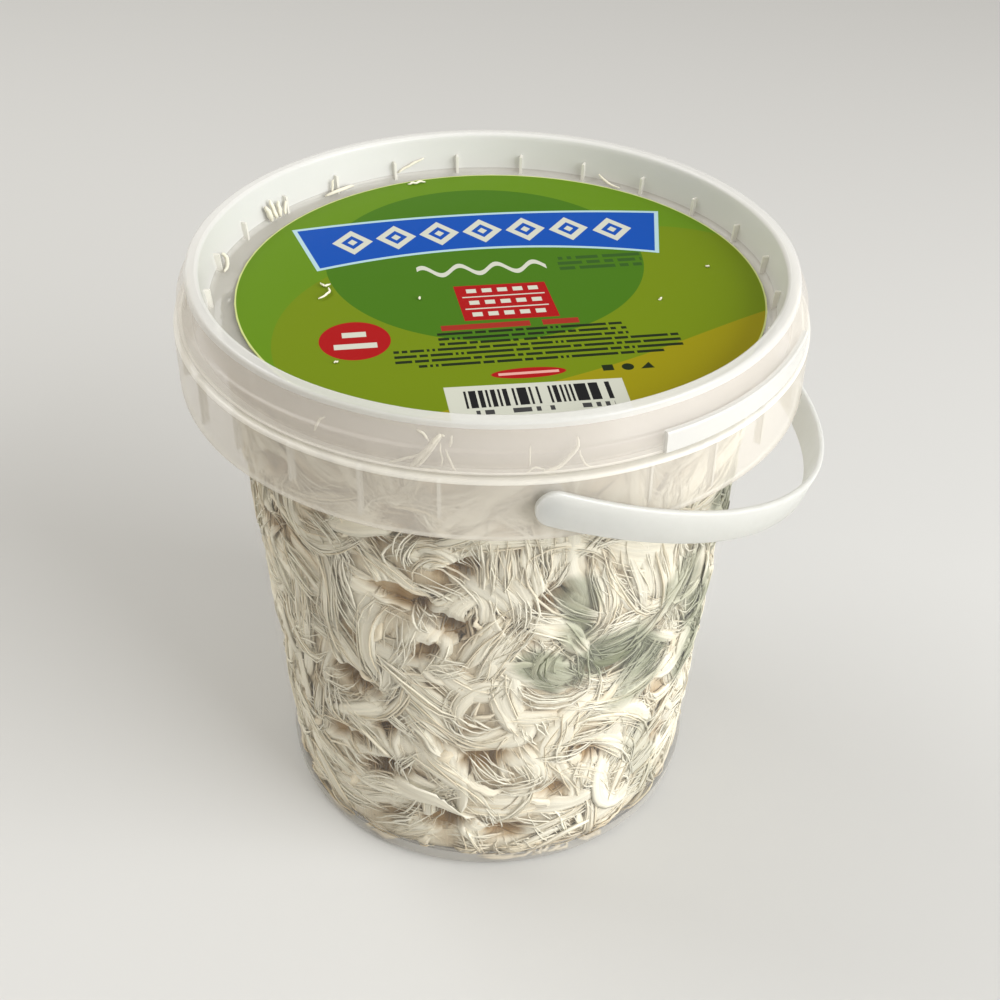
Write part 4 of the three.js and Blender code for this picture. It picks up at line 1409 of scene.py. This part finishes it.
TWIN_SHIFT, TWIN_WIDTH, CURVE_POWER = 0.22, 0.75, 3


def smooth_curve(path, steps):
    """A curve near a few points, as a polynomial in their spacing."""
    t, fine = np.linspace(0, 1, len(path)), np.linspace(0, 1, steps)
    fit = np.polyfit(t, path, min(CURVE_POWER, len(path) - 1))
    return np.stack([np.polyval(column, fine) for column in fit.T], 1)


def laid_lines(steps):
    """Middle lines of the locks laid one by one, doubled side by side."""
    lines, widths = [], []
    for width, *path in LAID_LOCKS:
        degrees, height = smooth_curve(np.array(path, float), steps).T
        angle = np.radians(degrees)
        heading = np.unwrap(np.arctan2(np.gradient(height), np.gradient(angle) * WALL_ROUND))
        for shift in (-TWIN_SHIFT, TWIN_SHIFT):
            higher = height + shift * width * np.cos(heading)
            beside = angle - shift * width * np.sin(heading) / WALL_ROUND
            lines.append(np.stack([beside, higher, heading], 1))
            widths.append(width * TWIN_WIDTH)
    return np.array(lines), np.array(widths)


print("locks laid by hand:", len(LAID_LOCKS), "pairs")

# %% [markdown]
# The other locks are strewn along the flow. A ring of locks lies low round the foot, nearly level, as
# shreds do where they were dropped first. All three kinds are made together, and the laid ones and
# the foot's press hardest on the wall.

# %% Pressed locks
PRESSED, FOOT_LOCKS, LOCK_STEPS = 230, 26, 17
FOOT_TILT = 0.25

angle, height = spread_starts(PRESSED)
lines = walked_lines(angle, height, rng.uniform(14, 34, PRESSED), rng.normal(0, 0.08, PRESSED), 0.8,
                     LOCK_STEPS)
width = rng.uniform(1.8, 4.8, PRESSED)
laid, laid_width = laid_lines(LOCK_STEPS)
foot_angle = np.linspace(0, 2 * np.pi, FOOT_LOCKS, endpoint=False)
foot = walked_lines(foot_angle, rng.uniform(1.6, 4.5, FOOT_LOCKS), rng.uniform(10, 18, FOOT_LOCKS),
                    rng.normal(0, 0.02, FOOT_LOCKS), 0.0, LOCK_STEPS)
foot_middle = foot[:, LOCK_STEPS // 2, None, 1]
foot[:, :, 1] = foot_middle + (foot[:, :, 1] - foot_middle) * FOOT_TILT
foot[:, :, 2] = np.arctan(np.tan(foot[:, :, 2]) * FOOT_TILT)
lines = np.concatenate([lines, laid, foot])
width = np.concatenate([width, laid_width, rng.uniform(2, 3.5, FOOT_LOCKS)])
count = len(width)
depth, thick = rng.uniform(-0.5, 0.1, count), rng.uniform(0.8, 1.2, count)
depth[PRESSED:] = rng.uniform(-0.5, -0.1, count - PRESSED)
locks = lock_bodies(lines, width, depth, thick, 11, CREAM, CREAM * 0.97)
shred_object("locks_pressed", *locks, lock_finish)
loose = lock_fibres(lines[:, ::2], width, depth, thick * 0.6, 6, 0.32, CREAM, WARM, spread=1.7)
shred_object("fibres_pressed", *loose, fibre_finish)

# %% [markdown]
# ## Tufts
#
# Torn bits a centimetre long fill the places between the locks. They are narrow, bend tightly and
# lie every way, and that breaks up the combed look.

# %% Tufts
TUFTS = 160

angle, height = spread_starts(TUFTS)
lines = walked_lines(angle, height, rng.uniform(6, 13, TUFTS), rng.normal(0, 0.22, TUFTS), 0.2, 9, stray=0.9)
width = rng.uniform(1.4, 3.4, TUFTS)
depth, thick = rng.uniform(-0.5, 0.3, TUFTS), rng.uniform(0.4, 0.7, TUFTS)
tufts = lock_bodies(lines, width, depth, thick, 7, CREAM, WARM, 0.07)
shred_object("tufts", *tufts, lock_finish)

# %% [markdown]
# ## Stray fibres
#
# Single fibres cross everything, and they bridge the hollows instead of sinking into them. They need
# no bodies, only loose bunches of fibres that wave more than the rest.

# %% Stray fibres
STRAYS, STRAY_THICK = 260, 0.4

angle, height = spread_starts(STRAYS)
lines = walked_lines(angle, height, rng.uniform(8, 24, STRAYS), rng.normal(0, 0.10, STRAYS), 0.1, 13,
                     stray=1.2)
width, depth, thick = rng.uniform(3, 9, STRAYS), rng.uniform(-0.3, 0.3, STRAYS), np.full(STRAYS, STRAY_THICK)
loose = lock_fibres(lines[:, ::2], width, depth, thick, 9, 0.30, CREAM, CREAM * 0.97, shake=1.6, bridge=0.25)
shred_object("fibres_stray", *loose, fibre_finish)

# %% [markdown]
# ## The core of the heap
#
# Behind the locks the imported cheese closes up. Its core is a turned body with soft hollows, about a
# millimetre inside the wall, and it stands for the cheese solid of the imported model.

# %% The core of the heap
CORE_TOP, CORE_HIGH_TIP, CORE_LOW_TIP = CHEESE_TOP - 2.2, CHEESE_TOP - 1.6, CHEESE_LOW - 0.2
LOW_INSET, MORE_INSET, INSET_FROM, INSET_OVER = 0.8, 0.5, 3, 10
CORE_HOLLOW, CORE_RELIEF, ROWS_LOW = 1.3, 0.18, 1.15


def core_mesh(columns=280, rows=120):
    """Points, quads and triangles of a closed body just inside the wall, with soft folds."""
    z = CHEESE_LOW + (CORE_TOP - CHEESE_LOW) * np.linspace(0, 1, rows) ** ROWS_LOW
    a = np.linspace(0, 2 * np.pi, columns, endpoint=False)
    grid_a, grid_z = np.meshgrid(a, z)
    relief = (0.7 * np.sin(grid_z / 2.1 + 3 * np.sin(5 * grid_a))
              + 0.6 * np.sin(29 * grid_a + 4 * np.sin(grid_z / 9)) + 0.9 * np.sin(7 * grid_a + grid_z / 6))
    inset = LOW_INSET + MORE_INSET * np.clip((grid_z - INSET_FROM) / INSET_OVER, 0, 1)
    depth = inset + CORE_HOLLOW * hollow(grid_a, grid_z) - CORE_RELIEF * relief
    points = on_wall(grid_a, grid_z, depth).reshape(-1, 3)
    ring = np.arange(rows * columns).reshape(rows, columns)
    here, there = ring[:-1], ring[1:]
    quads = np.stack([here, np.roll(here, -1, 1), np.roll(there, -1, 1), there], -1).reshape(-1, 4)
    tips = np.array([[0, 0, CORE_LOW_TIP], [0, 0, CORE_HIGH_TIP]])
    low_tip, high_tip = len(points), len(points) + 1
    under = np.stack([np.full(columns, low_tip), np.roll(ring[0], -1), ring[0]], 1)
    over = np.stack([np.full(columns, high_tip), ring[-1], np.roll(ring[-1], -1)], 1)
    return np.concatenate([points, tips]), quads, np.concatenate([under, over])


points, quads, triangles = core_mesh()
core_tones = tone_with_shade_at(points, CREAM * 0.96, np.full((len(points), 1), 0.5))
round_wall = np.arctan2(points[:, 0], -points[:, 1]) * WALL_ROUND
grain = np.column_stack([points[:, 2] * 0.3, round_wall])
core = shred_object("cheese_core", points, quads, triangles, core_tones, grain, core_finish)
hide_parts("cheese")

# %% [markdown]
# ## The top and the bottom of the heap
#
# Under the lid and on the floor the shreds lie flat. Only a narrow rim of them shows round the
# label, and the rest shows from below through the clear base.

# %% Level bunches
BUNCH_SPREAD, THICKEST = 1.8, 1.6
LEVEL_LOW, LEVEL_HIGH = CHEESE_LOW - 0.2, CHEESE_TOP + 0.9


def flat_fibres(count, level, lift, reach, per_lock, fibre_width, steps=11):
    """Bunches that lie level, with their fibres just above a height."""
    k = np.arange(count)
    r = reach * np.sqrt((k + 0.5) / count)
    a = k * math.pi * (3 - math.sqrt(5))
    heading = rng.uniform(0, 2 * np.pi, count)
    bend = rng.normal(0, 0.09, count)
    length = rng.uniform(12, 28, count)
    t = np.linspace(-0.5, 0.5, steps)
    way = heading[:, None] + bend[:, None] * length[:, None] * t
    step = length[:, None] / (steps - 1)
    x = (r * np.cos(a) - length / 2 * np.cos(heading))[:, None] + np.cumsum(np.cos(way) * step, 1)
    y = (r * np.sin(a) - length / 2 * np.sin(heading))[:, None] + np.cumsum(np.sin(way) * step, 1)
    shape = (count, per_lock)
    offset = rng.normal(0, BUNCH_SPREAD, shape + (1,)) * (1 - 1.2 * t ** 2)
    offset = offset + wavering(shape, steps, ((0.6, 0.5), (1.6, 0.25)))
    px = x[:, None] - offset * np.sin(way)[:, None]
    py = y[:, None] + offset * np.cos(way)[:, None]
    pz = level + rng.uniform(0, lift, shape + (1,)) + wavering(shape, steps, ((0.8, 0.25),))
    pz = np.clip(pz, LEVEL_LOW, LEVEL_HIGH)
    far = np.maximum(np.hypot(px, py) / (room_at(np.clip(pz, STRAIGHT_LOW, STRAIGHT_TOP + 1)) - 0.1), 1)
    points = np.stack([px / far, py / far, pz], -1).reshape(-1, steps, 3)
    thickness = np.minimum(rng.lognormal(0, WIDTH_SPREAD, (len(points), 1)), THICKEST)
    widths = fibre_width * thickness * np.clip(1.1 - (2 * t) ** 4, 0.2, 1)
    return points, widths


print("level bunches lie between", round(LEVEL_LOW, 2), "and", LEVEL_HIGH, "mm")

# %% [markdown]
# The bunches spread from the middle by the golden angle, which leaves no rows. The top gets more of
# them, because its rim shows through the ring of clear plastic round the label.

# %% The top and the bottom of the heap
top_points, top_widths = flat_fibres(90, CHEESE_TOP - 1.8, 2.2, 51, 7, 1.1)
low_points, low_widths = flat_fibres(50, CHEESE_LOW, 0.9, 42, 6, 1.1)
points, widths = np.concatenate([top_points, low_points]), np.concatenate([top_widths, low_widths])
shred_object("fibres_flat", *fibres(points, widths, tones(points, CREAM, WARM)), fibre_finish)

# %% [markdown]
# ## Loose shreds
#
# A few shreds went astray while the tub was filled. Some hang between the rim and the lid's skirt,
# some lie on the label or in the corner of the recess. Each one is a width and a short list of
# points, given as degrees from the front ear, distance from the axis and height.

# %% Loose shreds
GAP_R = 57.75
LOOSE = [
    # in the skirt, left of the middle
    (1.1, (-22.0, 58.6, 114.7), (-20.5, 58.2, 116.4), (-18.8, 57.8, 118.8), (-17.3, GAP_R, 121.0)),
    (0.7, (-21.3, 58.6, 114.7), (-19.4, 58.2, 117.0), (-17.8, GAP_R, 119.6), (-16.6, GAP_R, 120.9)),
    (0.45, (-25.4, 58.6, 114.8), (-23.9, 58.4, 115.6), (-21.3, 58.2, 116.6), (-19.6, 57.9, 118.1)),
    (0.45, (-21.2, 57.5, 121.2), (-19.9, GAP_R, 120.8), (-19.1, 57.9, 119.4)),
    (0.4, (-16.4, 57.9, 118.4), (-15.6, 58.2, 116.2), (-14.7, 58.6, 114.6)),
    (0.5, (-15.4, 57.5, 120.8), (-15.8, 57.7, 118.6)),
    (0.5, (-19.8, 58.6, 114.8), (-18.6, 58.7, 114.6), (-17.2, 58.6, 114.7)),
    (0.3, (-17.2, 57.7, 119.4), (-17.0, 58.3, 115.2)),
    # in the skirt, above the front ear
    (0.8, (-0.9, 58.7, 114.6), (1.6, 58.4, 115.3), (4.2, 58.0, 117.6), (4.7, GAP_R, 120.2)),
    (0.4, (5.2, 57.9, 117.8), (5.9, 58.4, 115.4), (7.4, 58.7, 114.6)),
    (0.35, (-3.5, 58.7, 114.6), (-2.8, 58.6, 115.2), (-1.4, 58.5, 115.3), (-0.5, 58.6, 114.7)),
    (0.35, (-2.9, 57.8, 119.6), (-3.0, 58.3, 116.0)),
    (0.5, (-39.2, 58.2, 116.8), (-38.6, 57.8, 118.6), (-37.4, 57.5, 119.6)),
    # round the back and the sides
    (0.6, (96, 58.5, 115.0), (98, 58.0, 117.4), (101, GAP_R, 119.4)),
    (0.4, (103, 58.6, 114.8), (101, 58.2, 116.8)),
    (0.7, (171, 58.5, 114.8), (168, 58.2, 116.6), (166, GAP_R, 119.8)),
    (0.4, (-92, 58.6, 114.8), (-95, 58.1, 117.6)),
    # on the label and in the corner of the recess
    (0.45, (-99.0, 33.3, 116.75), (-96.4, 32.4, 116.9), (-98.4, 31.4, 116.75)),
    (0.45, (-95.6, 31.6, 116.75), (-90.9, 31.7, 117.0), (-88.1, 33.6, 116.75)),
    (0.45, (-77.3, 15.1, 116.65), (-79.3, 14.9, 116.75)), (0.4, (-53.2, 40.2, 116.65), (-53.0, 39.5, 116.7)),
    (0.4, (73.6, 31.8, 116.6), (74.2, 32.3, 116.65)), (0.45, (93.2, 43.5, 116.65), (93.8, 43.1, 116.7)),
    (1.2, (-129.0, 52.9, 116.4), (-128.6, 53.2, 118.0), (-128.0, 53.8, 119.8)),
    (1.0, (-130.4, 52.8, 116.4), (-130.2, 53.2, 118.2), (-130.0, 53.8, 120.4)),
    (1.1, (-131.8, 52.8, 116.4), (-132.0, 53.2, 117.8), (-132.4, 53.7, 119.4)),
    (0.7, (-133.2, 52.6, 116.4), (-133.8, 53.1, 117.4), (-134.8, 53.6, 118.6)),
    (0.8, (-146, 52.9, 116.3), (-150, 52.4, 117.0), (-154, 53.0, 116.6)),
    (0.5, (-148, 53.2, 116.6), (-149, 53.6, 119.2)),
    (0.6, (-165.7, 53.9, 117.2), (-168.5, 54.0, 118.2), (-172.2, 54.3, 119.6)),
    (0.5, (-166, 48.6, 116.7), (-170.6, 48.4, 116.8)),
    (0.9, (-104, 52.6, 116.3), (-108, 53.0, 117.0), (-107, 53.6, 118.6)),
    (0.6, (140, 52.8, 116.3), (144, 53.2, 116.8), (146, 53.6, 118.0)),
]
print("loose shreds and crumbs:", len(LOOSE))

# %% [markdown]
# The points are joined by the same smooth curve as the locks laid by hand. The shreds are seen close
# up, so they are six-sided, taper to both ends and waver a little.

# %% The loose shreds as one mesh
LOOSE_STEPS, LOOSE_SIDES, LOOSE_WAVER, LOOSE_TAPER = 12, 6, 0.08, 0.55


def loose_line(path):
    """The smooth line of one loose shred in millimetres."""
    degrees, out, height = np.array(path, float).T
    a = np.radians(degrees)
    return smooth_curve(np.stack([out * np.sin(a), -out * np.cos(a), height], 1), LOOSE_STEPS)


lines = np.stack([loose_line(path) for width, *path in LOOSE])
waver = wavering((len(lines), 3), LOOSE_STEPS, ((1.0, 1.0), (2.2, 0.6))).transpose(0, 2, 1)
lines = lines + LOOSE_WAVER * waver
t = np.linspace(-1, 1, LOOSE_STEPS)
widths = np.array([width for width, *path in LOOSE])[:, None] * (1 - LOOSE_TAPER * np.abs(t) ** 3)
loose_tones = np.broadcast_to(CREAM, lines.shape) * rng.uniform(0.9, 1.0, (len(lines), 1, 1))
shred_object("loose_shreds", *fibres(lines, widths, loose_tones, LOOSE_SIDES), fibre_finish)

# %% [markdown]
# ## Sizes and the end
#
# The box round the finished pieces is printed at the end, in millimetres. The finished pieces
# have to stay inside the imported model's box.

# %% Sizes and the end
low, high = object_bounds()
print("finished box, mm:", [round(v / MM, 1) for v in (*low, *high)])
